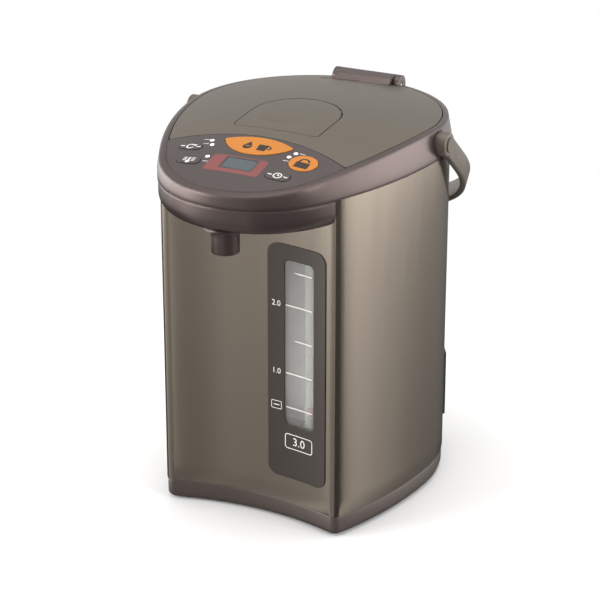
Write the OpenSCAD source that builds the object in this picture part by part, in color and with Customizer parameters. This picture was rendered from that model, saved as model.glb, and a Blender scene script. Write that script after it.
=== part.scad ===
// Electric thermo pot: a heated, insulated water container in an egg-shaped case, with a pump that
// lifts the water past a gauge window to a nozzle under the front beak. Millimetres, +Z up, front
// (nozzle) towards -Y. The case is drawn about the middle of its own length. The frame's origin is on
// the resting plane, under the middle of the whole object with its handle hanging down at the back.

/* [Case in plan] */
// Width of the case across its collar
body_w = 215; // [205:1:225]
// Length of the case from the beak to the back
body_l = 283; // [275:1:292]
// Radius of the round front end
front_r = 80; // [74:1:86]
// Radius of the long side curves
side_r = 310; // [280:5:360]
// Radius of the hollow front face
hollow_r = 229; // [200:1:260]
// Depth of the hollow front face behind the tip of the beak
hollow_depth = 65; // [60:1:68]
// Radius that rounds the two upright front corners
corner_r = 6; // [3:1:9]

/* [Case heights] */
// Height of the rubber feet below the base moulding
foot_gap = 1.5; // [1:0.5:3]
// Height of the top edge of the base moulding
base_h = 18; // [16:1:22]
// Height of the metal case wall
shell_h = 266; // [260:1:280]
// Height of the crown of the lid above the case wall
crown_rise = 33.5; // [32:0.5:36]
// Radius of the crowned top surface
crown_r = 570; // [520:10:700]
// Distance of the highest point of the crown behind the origin
crown_y = 22; // [16:1:28]

/* [Walls] */
// Thickness of the sheet metal case
sheet_t = 1.2; // [0.8:0.1:1.6]
// Thickness of the moulded plastic walls
wall_t = 2.4; // [2:0.1:2.8]
// Gap between parts that lift or slide past each other
part_gap = 0.8; // [0.6:0.1:1]
// Gap between fixed parts that drop into each other
fit_gap = 0.2; // [0.15:0.05:0.3]
// Radial clearance of a pin that turns in its hole
pin_gap = 0.05; // [0.02:0.01:0.1]

/* [Top] */
// Width of the collar's top rim round the lid
rim_w = 7.2; // [6.8:0.1:8]
// Inward lean of the collar wall over its height
rim_lean = 6; // [4:0.5:8]
// Radius of the seam between lid and control panel
seam_r = 164.4; // [150:0.2:190]
// Distance of that seam's rearmost point in front of the origin
seam_y = 55.3; // [54:0.1:57]
// Depth of the beak below the collar seam
beak_h = 21; // [20:0.5:24]
// Outside radius of the nozzle shroud
nozzle_r = 10.85; // [10:0.05:12]
// Length of the nozzle shroud below the beak
nozzle_l = 20.5; // [16:0.5:26]
// Distance of the nozzle in front of the origin
nozzle_y = 122; // [120:0.5:125]

/* [Water container] */
// Inside radius of the steel container
vessel_r = 74.6; // [74:0.1:75]
// Wall of the steel container
vessel_t = 0.9; // [0.6:0.1:1.1]
// Depth of the steel container
vessel_h = 204; // [196:1:206]
// Thickness of the insulation jacket
jacket_t = 11; // [8:1:12]

/* [Gauge] */
// Width of the dark gauge frame
gauge_w = 54; // [52:1:58]
// Height of the dark gauge frame
gauge_h = 198; // [190:1:200]
// Distance of the gauge frame to the right of the nozzle
gauge_x = 38.5; // [37:0.5:40]
// Height of the lower edge of the gauge frame
gauge_z = 39.5; // [38:0.5:44]
// Width of the clear pane in the gauge frame
pane_w = 27; // [24:1:30]
// Height of the clear pane in the gauge frame
pane_h = 138.5; // [130:0.5:142]
// Height of the lower edge of the clear pane
pane_z = 86.5; // [84:0.5:90]
// Outside radius of the glass gauge tube
tube_r = 5.5; // [5:0.1:6]
// Distance of the gauge tube to the right of the nozzle
tube_x = 46; // [45:0.5:47]
// Radius of the red float ball
float_r = 3.6; // [3:0.1:3.9]

/* [Moving parts] */
// Travel of a key
key_travel = 0.6; // [0.4:0.1:0.8]
// Half the width of the lid lever
lever_r = 36; // [32:0.5:38]
// Reach of the lever in front of the centre of its round end
lever_reach = 35; // [30:0.5:37]
// Travel of the lid latch
latch_travel = 4.5; // [3:0.5:5]
// Thickness of the carrying handle
handle_t = 5; // [4:0.5:6]
// Height of the band of the carrying handle
handle_h = 17; // [15:0.5:19]
// Length of the straight part of each handle arm
handle_arm = 36; // [30:0.5:42]
// Radius of each handle hub
hub_r = 9.5; // [8.5:0.5:10]

/* [Pump] */
// Distance of the pump axis to the right of the container axis
pump_x = 26; // [25:0.5:27]
// Distance of the pump axis behind the origin
pump_y = 10; // [8:0.5:12]
// Outside radius of the pump housing
pump_r = 26; // [25:0.5:27]
// Number of blades on the impeller
blade_count = 6; // [4:1:8]
// Radius of the motor can
motor_r = 17; // [15:0.5:18]

/* [Hidden] */
$fn = 64;
tiny = 0.01;
big = 400;
frame_shift = 5.5;

// Plan of the case: an egg of four arcs that meet without a corner
back_r = body_w / 2;
back_y = body_l / 2 - back_r;
front_y = front_r - body_l / 2;
side_y = (pow(side_r - front_r, 2) - pow(side_r - back_r, 2) - front_y * front_y + back_y * back_y)
    / (2 * (back_y - front_y));
side_x = sqrt(pow(side_r - back_r, 2) - pow(side_y - back_y, 2));
front_a = atan2(front_y - side_y, side_x);
back_a = atan2(back_y - side_y, side_x);
egg_steps = 12;
hollow_y = hollow_depth - body_l / 2 - hollow_r;
shell_inset = 1;
base_inset = 1.6;

// Heights
seam_z = base_h + shell_h;
crown_top = seam_z + crown_rise;
lean_z = seam_z + 8;
lean_h = crown_rise;
deck_t = 3;
deck_z = seam_z - deck_t - 4;
deck_top = deck_z + deck_t;

// Collar
rim_inner_t = 2;
channel_in = rim_w - rim_inner_t;
lid_edge = rim_w + part_gap;
seam_cy = -seam_y - seam_r;
seam_gap = 0.1;
seam_wall_t = 1.2;
flange_clear = 2.2;
panel_t = 2.2;
ledge_w = 2.3;
ledge_t = 3;
mouth_r = vessel_r + 6;

// Control panel frame: its middle, and its slope
panel_y = -92;
panel_tilt = asin((crown_y - panel_y) / crown_r);
board_drop = 11.5;
board_size = [120, 80];
board_t = 1.6;
switch_h = 3.2;
cap_end = -board_drop + switch_h + key_travel + 0.1;
key_gap = 0.35;
key_proud = 0.5;
key_flange = 1;
dispense_at = [0, -72];
dispense_half = 29;
dispense_rise = 14;
dispense_drop = 12.5;
dispense_sag_y = 4;
leaf_y = -66;
unlock_at = [45, -82.5];
unlock_r = 11;
reboil_at = [-50, -83];
temperature_at = [-41, -103];
timer_at = [35, -105];
side_key = [19, 9];
timer_key = [20, 11];
lights_at = [[-38, -71], [-34.5, -77.5], [-29, -95], [31, -78], [33.5, -71.5]];
light_r = 1.7;
display_at = [0, -99];
display_size = [25, 14];
module_size = [32, 20];
board_posts = [[-44, -96], [44, -96], [-20, -118], [20, -118]];
post_r = 3.5;
screw_r = 1.25;

// Hinge of the lid
hinge_y = body_l / 2 - 8.5;
hinge_z = crown_top - 12;
barrel_r = 8.5;
barrel_half = 25;
ear_half = 30;
ear_gap = 0.35;
hinge_pin_r = 2;
hinge_front = hinge_y - 15;

// Container and what stands round it
vessel_top = deck_z - 1;
flange_r = mouth_r + 3.5;
flange_t = 1;
vessel_z = vessel_top - vessel_h;
vessel_round = 12;
outlet_r = 7;
outlet_bore = 5.5;
outlet_l = 12;
plate_t = 2;
plate_z = vessel_z - 8;
jacket_gap = 3.5;
jacket_in = vessel_r + vessel_t + jacket_gap;
jacket_r = jacket_in + jacket_t;
heater_t = 3;
heater_z = vessel_z + 10;
heater_h = 32;

// Gauge
tube_y = hollow_depth - body_l / 2 + 6.5;
tube_bore = tube_r - 1.2;
tube_z = vessel_z + 6;
tube_top = tube_z + 158;
stop_top = pane_z + 6.8;
stop_bore = 2;
float_z = stop_top + sqrt(float_r * float_r - stop_bore * stop_bore) + pin_gap;
frame_proud = 0.6;
frame_back = 2.8;
pane_t = 1.8;
backing_gap = 20;
backing_t = 1.5;

// Water path
hose_r = 5;
hose_bore = 3.5;
bend_r = 9;
riser_bend = 14;
riser_r = 7;
riser_in = 4.55;
valve_r = 7.4;
valve_z = tube_top - 4;
valve_h = 26;
valve_ball_r = 4.8;
valve_seat_r = 2.8;
spout_z = deck_z - hose_r - 1;
run_x = 0 - tube_x;
run_y = tube_y + nozzle_y;
run_l = sqrt(run_x * run_x + run_y * run_y);
run_a = atan2(-run_y, run_x);
outlet_tube_r = 6.5;
outlet_tube_bore = 4;
nozzle_z = seam_z - beak_h - nozzle_l;

// Pump
motor_z = 6;
motor_h = 22;
bracket_r = 29;
housing_z = motor_z + motor_h + 4;
housing_h = 18;
cover_t = 2;
discharge_z = housing_z + 12;
impeller_r = 18;
shaft_r = 1.5;
magnet_r = 14;

// Lid lever and latch
lever_cy = -5;
lever_t = 3;
lever_axis_y = 20;
lever_axis_z = crown_top - 3.5;
lever_pin_r = 1.25;
lever_barrel_r = 2.6;
lever_swing_gap = 0.8;
heel_y = lever_axis_y + 10.5;
heel_z = lever_axis_z - 2;
ramp_slope = 0.7;
ramp_gap = 0.75;
well_z = crown_top - 17.5;
cover_z = seam_z + 6;
inner_cover_t = 2.5;
bolt_z = cover_z + inner_cover_t + 1;
bolt_t = 3;
bolt_w = 18;
bolt_end = 37;
rib_y = 62;
plug_r = vessel_r - 8.6;
steam_at = [-20, back_y + 46];
steam_r = 9;
lid_screw_points = [[-64, back_y - 34], [64, back_y - 34], [-64, back_y + 52], [64, back_y + 52]];

// Handle
pivot_z = seam_z + 12;
pivot_y = back_y;
handle_gap = 2;
handle_in = back_r + handle_gap;
hub_in = back_r - 3;
handle_pin_r = 4;
rest_reach = back_r - shell_inset + 0.6;
handle_far = handle_arm + handle_in;
rest_a = acos(rest_reach / sqrt(pow(handle_far, 2) + pow(handle_h / 2, 2)))
    - atan(handle_h / 2 / handle_far);

// Bottom
feet_at = [[-68, front_y - 0.5], [68, front_y - 0.5], [-58, back_y + 66], [58, back_y + 66]];
foot_r = 9;
foot_h = 4.5;
floor_t = 3;
opening_in = 34;
cover_top = foot_gap + 1.2;
cover_lap = 6;
cover_screws = [[-76, back_y - 14], [76, back_y - 14], [0, back_y + 76.5], [0, front_y + 4]];
inlet_a = 40;
inlet_z = 67;
inlet_w = 40;
inlet_h = 50;
recess_w = 30;
recess_h = 20;
recess_d = 12;
contact_r = 1.8;
contact_l = 12;
contact_gap = 12;

// Points of an arc, without its last one
function arc(r, cx, cy, a0, a1, n) =
    [for (i = [0:n - 1]) let (a = a0 + (a1 - a0) * i / n) [cx + r * cos(a), cy + r * sin(a)]];

function egg_half(inset) = concat(
    arc(front_r - inset, 0, front_y, -90, front_a, egg_steps),
    arc(side_r - inset, -side_x, side_y, front_a, back_a, egg_steps),
    arc(back_r - inset, 0, back_y, back_a, 90, 2 * egg_steps),
    [[0, back_y + back_r - inset]]);

function egg_points(inset) =
    let (half = egg_half(inset), n = len(half))
    concat(half, [for (i = [n - 2:-1:1]) [-half[i][0], half[i][1]]]);

// Height of the crowned top over a point of the plan
function crown_at(x, y) =
    crown_top - crown_r + sqrt(crown_r * crown_r - x * x - pow(y - crown_y, 2));

// How far the crown lies below the panel frame's plane, at a distance from the frame's middle
function sag(x, y) = (x * x + y * y) / (2 * crown_r);

// A plan point as seen in the tilted panel frame
function on_slope(p) = [p[0], (p[1] - panel_y) / cos(panel_tilt)];

module egg(inset = 0) polygon(egg_points(inset));

module hollow(grow = 0) translate([0, hollow_y]) circle(hollow_r + grow, $fn = 180);

// Plan of the case wall, with its hollow front and rounded upright corners
module body_outline(inset) {
    offset(r = corner_r, $fn = 32) offset(delta = -corner_r - inset)
        difference() {
            egg();
            hollow();
        }
}

// An upright wall of a plan outline that leans inwards by an inset over its height
module tapered(h, inset) {
    linear_extrude(h, scale = [1 - 2 * inset / body_w, 1 - 2 * inset / body_l], slices = 1) children();
}

module prism(z0, z1) translate([0, 0, z0]) linear_extrude(z1 - z0) children();

module crown(drop = 0) {
    translate([0, crown_y, crown_top - crown_r]) sphere(crown_r - drop, $fn = 240);
}

module ring(outer, inner, z0, z1) {
    prism(z0, z1) difference() {
        circle(outer);
        circle(inner);
    }
}

module at_vessel() translate([0, back_y, 0]) children();

module on_panel() {
    translate([0, panel_y, crown_at(0, panel_y)]) rotate([panel_tilt, 0, 0]) children();
}

module along_x(x0, x1, r, y, z) {
    translate([x0, y, z]) rotate([0, 90, 0]) cylinder(x1 - x0, r = r);
}

// A bar along X, mirrored to both sides
module both_sides() {
    children();
    mirror([1, 0, 0]) children();
}

module panel_outline(shrink = 0) {
    intersection() {
        egg(rim_w + shrink);
        translate([0, seam_cy]) circle(seam_r - shrink, $fn = 180);
    }
}

module lid_outline(shrink = 0) {
    offset(r = 2, $fn = 24) offset(delta = -2)
        difference() {
            egg(lid_edge + shrink);
            translate([0, seam_cy]) circle(seam_r + part_gap + shrink, $fn = 180);
        }
}

// Walls of the case

module outer_shell() {
    color("#6f685e") difference() {
        prism(base_h, seam_z) difference() {
            body_outline(shell_inset);
            body_outline(shell_inset + sheet_t);
        }
        gauge_prism(gauge_w - 1.4, gauge_h - 1.4, gauge_x, gauge_z + 0.7, 8);
        prism(seam_z - beak_h + 2, seam_z + 1)
            translate([-50, hollow_y + hollow_r - 30]) square([110, 40]);
        prism(deck_z - 0.3, seam_z + 1) egg(channel_in - 0.4);
        at_inlet() translate([back_r - 20, -inlet_w / 2, inlet_z - inlet_h / 2])
            cube([40, inlet_w, inlet_h]);
    }
}

module base_ring() {
    skirting = [2.4, 2.5];
    color("#4c443f") difference() {
        union() {
            prism(foot_gap + skirting[1], base_h) body_outline(base_inset);
            prism(foot_gap, foot_gap + skirting[1] + 1) body_outline(base_inset + skirting[0]);
            prism(base_h, base_h + 5) difference() {
                body_outline(shell_inset + sheet_t + fit_gap);
                body_outline(shell_inset + sheet_t + fit_gap + wall_t);
            }
        }
        prism(foot_gap + floor_t, base_h + 6) body_outline(shell_inset + sheet_t + fit_gap + wall_t);
        prism(foot_gap - 1, foot_gap + floor_t + 1) bottom_opening(0);
        prism(foot_gap - 1, cover_top) bottom_opening(cover_lap + fit_gap);
        for (p = feet_at)
            translate([p[0], p[1], foot_gap - 1]) cylinder(3, r = foot_r + fit_gap);
        for (p = cover_screws)
            translate([p[0], p[1], 0]) cylinder(10, r = screw_r);
    }
}

// Opening in the floor of the base, widened by a lap for the rebate of its cover
module bottom_opening(lap) {
    difference() {
        egg(opening_in - lap);
        translate([0, hollow_y]) circle(hollow_r + opening_in - 12 - lap, $fn = 180);
        for (p = feet_at)
            translate(p) circle(foot_r + (lap > 0 ? 1.5 : 2));
    }
}

module bottom_cover() {
    slot = [3, 24];
    color("#3a3634") difference() {
        prism(foot_gap - 0.8, cover_top) bottom_opening(cover_lap);
        for (i = [-4:4])
            translate([i * 7 - slot[0] / 2, back_y + 32, 0]) cube([slot[0], slot[1], 10]);
        for (p = cover_screws)
            translate([p[0], p[1], 0]) cylinder(10, r = screw_r + 0.3);
    }
}

module bottom_screws() {
    color("silver") for (p = cover_screws) translate([p[0], p[1], foot_gap - 0.8]) {
        translate([0, 0, -0.5]) cylinder(0.5, r = 3);
        cylinder(floor_t, r = screw_r);
    }
}

module rubber_feet() {
    color("#222222") for (p = feet_at)
        translate([p[0], p[1], 0]) cylinder(foot_gap + 2, r = foot_r);
}

// Collar, beak and control panel

module collar() {
    color("#4a3f3d") difference() {
        union() {
            difference() {
                intersection() {
                    union() {
                        prism(seam_z, lean_z) egg();
                        translate([0, 0, lean_z]) tapered(lean_h, rim_lean) egg();
                    }
                    crown();
                    prism(seam_z, crown_top) difference() {
                        egg();
                        egg(rim_w);
                    }
                }
                prism(seam_z - 1, lean_z - 1) difference() {
                    egg(wall_t);
                    egg(channel_in);
                }
            }
            prism(deck_z, seam_z + 2) difference() {
                egg(channel_in);
                egg(rim_w);
            }
            prism(deck_z, deck_top) egg(rim_w - 1);
            intersection() {
                crown(panel_t + 0.3);
                prism(deck_top - 1, crown_top) seam_wall();
            }
            panel_ledge();
            board_supports();
            both_sides() along_x(back_r - rim_w, hub_in - 0.3, hub_r + 0.5, pivot_y, pivot_z);
            both_sides() along_x(barrel_half + ear_gap, ear_half, barrel_r, hinge_y, hinge_z);
        }
        at_vessel() prism(deck_z - 1, deck_top + 1) circle(mouth_r, $fn = 128);
        along_x(-barrel_half - ear_gap, barrel_half + ear_gap, barrel_r + 0.7, hinge_y, hinge_z);
        translate([-barrel_half - ear_gap, hinge_y - 20, hinge_z])
            cube([2 * (barrel_half + ear_gap), 40, 30]);
        along_x(-ear_half - 1, ear_half + 1, hinge_pin_r, hinge_y, hinge_z);
        both_sides() {
            along_x(hub_in - 0.3, big, hub_r + 0.5, pivot_y, pivot_z);
            along_x(back_r - rim_w - 1, big, handle_pin_r, pivot_y, pivot_z);
        }
        // Keeper for the nose of the latch bolt, open upwards
        translate([-bolt_w / 2 - 1, -seam_y - 8, bolt_z - 0.5]) cube([bolt_w + 2, 10, 30]);
    }
}

// Step round the front of the rim that carries the control panel
module panel_ledge() {
    intersection() {
        crown(panel_t + 0.3);
        difference() {
            prism(seam_z + 4, crown_top) intersection() {
                difference() {
                    egg(rim_w - 1);
                    egg(rim_w + ledge_w);
                }
                translate([0, seam_cy]) circle(seam_r, $fn = 180);
            }
            crown(panel_t + 0.3 + ledge_t);
        }
    }
}

// Wall under the seam between the lid and the control panel
module seam_wall() {
    intersection() {
        egg(rim_w - 1);
        translate([0, seam_cy]) difference() {
            circle(seam_r - seam_gap, $fn = 180);
            circle(seam_r - seam_gap - seam_wall_t, $fn = 180);
        }
    }
}

module board_supports() {
    intersection() {
        prism(deck_top - 1, crown_top) egg(rim_w);
        on_panel() translate([0, 0, -board_drop - board_t - big / 2])
            for (p = board_posts)
                let (q = on_slope(p)) translate([q[0], q[1], 0]) cylinder(big / 2, r = post_r);
    }
}

module beak_plan(inset) {
    intersection() {
        egg(inset);
        hollow(-0.3);
    }
}

module beak_cover() {
    round_h = 10;
    round_w = 8;
    top_inset = 0.5;
    floor_z = seam_z - beak_h;
    color("#463b39") difference() {
        union() {
            prism(floor_z + round_h, seam_z) beak_plan(top_inset);
            intersection() {
                translate([0, 0, floor_z + round_h]) mirror([0, 0, 1])
                    tapered(round_h, round_w) egg(top_inset);
                prism(floor_z, seam_z) hollow(-0.3);
            }
            translate([0, -nozzle_y, nozzle_z]) cylinder(nozzle_l + 1, r = nozzle_r);
            translate([0, -nozzle_y, floor_z - 4]) cylinder(5, nozzle_r, nozzle_r + 3);
        }
        prism(floor_z + round_h, seam_z + 1) beak_plan(top_inset + wall_t);
        prism(floor_z + 2.2, floor_z + round_h + 1) beak_plan(top_inset + wall_t + round_w);
        translate([0, -nozzle_y, nozzle_z - 1]) cylinder(nozzle_l + 4, r = outlet_tube_r + 1.5);
    }
    // Screw posts up to the deck of the collar
    color("#463b39") both_sides() translate([45, -112, 0])
        ring(post_r, screw_r, floor_z + 2.2 - tiny, deck_z);
}

module nozzle_tube() {
    top = spout_z - bend_r;
    color("#2b2626") translate([0, -nozzle_y, 0]) {
        ring(outlet_tube_r, outlet_tube_bore, nozzle_z + 2, top);
        ring(outlet_tube_r + 1.4, outlet_tube_r - 0.5, top - 4, top);
    }
}

module control_panel() {
    color("#585050") difference() {
        intersection() {
            crown();
            prism(seam_z, crown_top) panel_outline(fit_gap);
        }
        crown(panel_t);
        on_panel() {
            key_hole() dispense_outline();
            key_hole() unlock_outline();
            key_hole() reboil_outline();
            key_hole() temperature_outline();
            key_hole() timer_outline();
            key_hole(0) display_outline();
            for (p = lights_at)
                let (q = on_slope(p)) translate([q[0], q[1], -10]) cylinder(20, r = light_r);
        }
    }
}

module key_hole(gap = key_gap) {
    translate([0, 0, -12]) linear_extrude(24) offset(delta = gap) children();
}

// A key: a cap that follows the crown, a flange under the panel and a stem down to its switch
module key_cap(at, half) {
    q = on_slope(at);
    flange_z = -panel_t - sag(abs(q[0]) + half[0], abs(q[1]) + half[1]) - 0.3;
    intersection() {
        crown(-key_proud);
        on_panel() {
            translate([0, 0, flange_z]) linear_extrude(20) children();
            translate([0, 0, flange_z - key_flange]) linear_extrude(key_flange) intersection() {
                offset(delta = key_gap + key_flange) children();
                scale([1, 1 / cos(panel_tilt)]) translate([0, -panel_y])
                    panel_outline(seam_gap + seam_wall_t + flange_clear);
            }
            translate([q[0], q[1], cap_end]) cylinder(flange_z - cap_end, r = 2.5);
        }
    }
}

// Leaf between two arcs that meet at its pointed ends
module dispense_outline() {
    q = on_slope(dispense_at);
    rear = dispense_rise - (leaf_y - dispense_at[1]);
    fore = dispense_drop + (leaf_y - dispense_at[1]);
    rear_r = (pow(dispense_half, 2) + pow(rear, 2)) / (2 * rear);
    fore_r = (pow(dispense_half, 2) + pow(fore, 2)) / (2 * fore);
    offset(r = 1.5, $fn = 24) offset(delta = -1.5) intersection() {
        translate([0, q[1] + dispense_rise - rear_r]) circle(rear_r, $fn = 128);
        translate([0, q[1] - dispense_drop + fore_r]) circle(fore_r, $fn = 128);
    }
}

module unlock_outline() translate(on_slope(unlock_at)) circle(unlock_r);

module pill(at, size) {
    q = on_slope(at);
    r = size[1] / 2;
    for (s = [-1, 1]) translate([q[0] + s * (size[0] / 2 - r), q[1]]) circle(r, $fn = 48);
    translate([q[0] - size[0] / 2 + r, q[1] - r]) square([size[0] - 2 * r, size[1]]);
}

module reboil_outline() pill(reboil_at, side_key);

module temperature_outline() pill(temperature_at, side_key);

module timer_outline() pill(timer_at, timer_key);

module display_outline() {
    q = on_slope(display_at);
    translate([q[0] - display_size[0] / 2, q[1] - display_size[1] / 2]) square(display_size);
}

module dispense_button() {
    color("#de8c2c") key_cap(dispense_at, [dispense_half, dispense_sag_y]) dispense_outline();
}

module unlock_button() color("#de8c2c") key_cap(unlock_at, [unlock_r, unlock_r]) unlock_outline();

module reboil_button() color("#585050") key_cap(reboil_at, side_key / 2) reboil_outline();

module temperature_button() color("#585050") key_cap(temperature_at, side_key / 2) temperature_outline();

module timer_button() color("#5d5555") key_cap(timer_at, timer_key / 2) timer_outline();

module display_window() {
    color("#39444a") intersection() {
        on_panel() translate([0, 0, -12]) linear_extrude(24) offset(delta = -0.05) display_outline();
        difference() {
            crown(0.2);
            crown(panel_t);
        }
    }
}

module display_module() {
    q = on_slope(display_at);
    module_h = board_drop - panel_t - sag(display_size[0], q[1] + display_size[1]) - 0.3;
    color("#39444a") on_panel() translate([-module_size[0] / 2, q[1] - module_size[1] / 2, -board_drop])
        cube([module_size[0], module_size[1], module_h]);
}

module control_board() {
    keys = [dispense_at, unlock_at, reboil_at, temperature_at, timer_at];
    color("#2e5e3a") on_panel() difference() {
        union() {
            translate([0, 0, -board_drop - board_t]) linear_extrude(board_t)
                intersection() {
                    scale([1, 1 / cos(panel_tilt)]) translate([0, -panel_y]) panel_outline(9);
                    translate([-board_size[0] / 2, -34]) square(board_size);
                }
            for (p = keys)
                let (q = on_slope(p)) translate([q[0] - 3, q[1] - 3, -board_drop]) cube([6, 6, switch_h]);
        }
        for (p = board_posts)
            let (q = on_slope(p)) translate([q[0], q[1], -20]) cylinder(20, r = screw_r);
    }
}

module status_lights() {
    color("white") intersection() {
        crown(-0.2);
        on_panel() for (p = lights_at)
            let (q = on_slope(p)) translate([q[0], q[1], -board_drop])
                cylinder(20, r = light_r - 0.05, $fn = 24);
    }
}

// Gauge in the hollow front

module gauge_prism(w, h, x, z, r) {
    translate([x, -45, z]) rotate([90, 0, 0]) linear_extrude(60) rounded(w, h, r);
}

module rounded(w, h, r) {
    for (s = [-1, 1], z = [r, h - r])
        translate([s * (w / 2 - r), z]) circle(r, $fn = 32);
    translate([-w / 2, r]) square([w, h - 2 * r]);
    translate([r - w / 2, 0]) square([w - 2 * r, h]);
}

// A curved plate that follows the hollow front, between two depths behind its surface
module hollow_plate(d0, d1) {
    translate([0, hollow_y, 0]) prism(gauge_z - 1, gauge_z + gauge_h + 1) difference() {
        circle(hollow_r + d1, $fn = 240);
        circle(hollow_r + d0, $fn = 240);
    }
}

module gauge_frame() {
    color("#3f3836") difference() {
        union() {
            intersection() {
                gauge_prism(gauge_w, gauge_h, gauge_x, gauge_z, 9);
                hollow_plate(shell_inset - frame_proud, shell_inset);
            }
            intersection() {
                gauge_prism(gauge_w - 1.8, gauge_h - 1.8, gauge_x, gauge_z + 0.9, 8);
                hollow_plate(shell_inset - 0.5, frame_back);
            }
        }
        gauge_prism(pane_w, pane_h, gauge_x + 2, pane_z, 4);
        intersection() {
            gauge_prism(pane_w + 4, pane_h + 4, gauge_x + 2, pane_z - 2, 5);
            hollow_plate(frame_back - pane_t - 0.1, frame_back + 1);
        }
    }
}

module gauge_pane() {
    color("#9aa0a0") intersection() {
        gauge_prism(pane_w + 3.8, pane_h + 3.8, gauge_x + 2, pane_z - 1.9, 5);
        hollow_plate(frame_back - pane_t, frame_back);
    }
}

module gauge_backing() {
    color("#8d8a88") difference() {
        intersection() {
            gauge_prism(gauge_w - 5, pane_h + 8, gauge_x, pane_z - 4, 6);
            hollow_plate(frame_back, backing_gap);
        }
        intersection() {
            gauge_prism(gauge_w - 8, pane_h + 40, gauge_x, pane_z - 20, 6);
            hollow_plate(0, backing_gap - backing_t);
        }
    }
}

module gauge_tube() {
    color("#c9d6d8") translate([tube_x, tube_y, 0]) ring(tube_r, tube_bore, tube_z, tube_top);
}

module gauge_foot() {
    color("#2b2626") translate([tube_x, tube_y, 0]) {
        ring(tube_r + 2, tube_r + 0.05, tube_z, tube_z + 7);
        ring(tube_r + 2, stop_bore, tube_z - 3, tube_z);
        ring(riser_in - 0.05, 2.6, tube_z - 10, tube_z - 3);
        ring(tube_bore - 0.4, stop_bore, tube_z, stop_top);
    }
}

module float_ball() {
    color("#c2302a") translate([tube_x, tube_y, float_z]) sphere(float_r, $fn = 96);
}

module valve_body() {
    cup_z = valve_z + 6;
    color("#d8d5cc") translate([tube_x, tube_y, 0]) {
        ring(valve_r, tube_r + 0.05, valve_z, tube_top);
        ring(valve_r, valve_seat_r, tube_top, cup_z);
        ring(valve_r, valve_ball_r + 0.7, cup_z, valve_z + valve_h - 8);
        ring(valve_r, valve_seat_r, valve_z + valve_h - 8, valve_z + valve_h - 6);
        ring(hose_bore - 0.05, 2.2, valve_z + valve_h - 6, spout_z - bend_r + 1);
    }
}

module valve_ball() {
    sit = sqrt(valve_ball_r * valve_ball_r - valve_seat_r * valve_seat_r) + pin_gap;
    color("silver") translate([tube_x, tube_y, valve_z + 6 + sit]) sphere(valve_ball_r, $fn = 96);
}

// A hose with upright ends: up, over and down again
module spout_hose() {
    foot_z = valve_z + valve_h - 6;
    color("#c9c4bb") translate([tube_x, tube_y, 0]) rotate([0, 0, run_a]) {
        ring(hose_r, hose_bore, foot_z, spout_z - bend_r);
        translate([bend_r, 0, spout_z - bend_r]) rotate([90, 0, 0])
            hose_bend(hose_r, hose_bore, bend_r, 90);
        translate([bend_r, 0, spout_z]) rotate([0, 90, 0])
            ring(hose_r, hose_bore, 0, run_l - 2 * bend_r);
        translate([run_l - bend_r, 0, spout_z - bend_r]) rotate([90, 0, 0])
            hose_bend(hose_r, hose_bore, bend_r, 0);
    }
}

module hose_bend(outer, bore, r, start) {
    rotate([0, 0, start]) rotate_extrude(angle = 90) translate([r, 0]) difference() {
        circle(outer, $fn = 48);
        circle(bore, $fn = 48);
    }
}

module riser_hose() {
    start_y = pump_y - pump_r + 2.4;
    end_y = tube_y + riser_bend;
    color("#c9c4bb") translate([tube_x, 0, 0]) {
        translate([0, start_y, discharge_z]) rotate([90, 0, 0])
            ring(riser_r, riser_in, 0, start_y - end_y);
        translate([0, end_y, discharge_z + riser_bend]) rotate([90, 0, 90])
            hose_bend(riser_r, riser_in, riser_bend, 180);
        translate([0, tube_y, 0])
            ring(riser_r, riser_in, discharge_z + riser_bend, tube_z - 3);
    }
}

// Water container and its jacket

module inner_container() {
    color("silver") {
        at_vessel() difference() {
            union() {
                vessel_solid(vessel_r + vessel_t, vessel_z, vessel_top, vessel_round + vessel_t);
                prism(vessel_top - flange_t, vessel_top) circle(flange_r, $fn = 128);
            }
            vessel_solid(vessel_r, vessel_z + vessel_t, vessel_top + 1, vessel_round);
            translate([pump_x, pump_y - back_y, vessel_z - 1]) cylinder(4, r = outlet_bore);
        }
        translate([pump_x, pump_y, 0])
            ring(outlet_r, outlet_bore, vessel_z - outlet_l, vessel_z + tiny);
    }
}

// A cup-shaped solid with a rounded foot
module vessel_solid(r, z0, z1, round) {
    rotate_extrude($fn = 128) {
        translate([0, z0]) square([r - round, z1 - z0]);
        translate([0, z0 + round]) square([r, z1 - z0 - round]);
        intersection() {
            translate([r - round, z0 + round]) circle(round, $fn = 64);
            translate([0, z0]) square([r, z1 - z0]);
        }
    }
}

module container_seal() {
    color("#b8b2a8") at_vessel() ring(flange_r, mouth_r + 0.4, vessel_top, deck_z);
}

module strainer() {
    cap_r = outlet_bore + 4;
    color("#9a9a98") translate([pump_x, pump_y, vessel_z + vessel_t]) difference() {
        union() {
            cylinder(1, r = cap_r);
            cylinder(7, r = cap_r - 2);
        }
        translate([0, 0, -1]) cylinder(6.8, r = cap_r - 3);
        for (a = [0:45:315], z = [2.2, 4.6])
            rotate([0, 0, a]) translate([0, 0, z]) rotate([0, 90, 0])
                cylinder(cap_r, r = 0.8, $fn = 16);
    }
}

module band_heater() {
    color("#b08d57") at_vessel() {
        ring(vessel_r + vessel_t + heater_t, vessel_r + vessel_t + 0.05, heater_z,
            heater_z + heater_h);
    }
}

module insulation_jacket() {
    color("#e4e0d6") at_vessel()
        ring(jacket_r, jacket_in, plate_z + plate_t, vessel_top - flange_t - 2);
}

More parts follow.
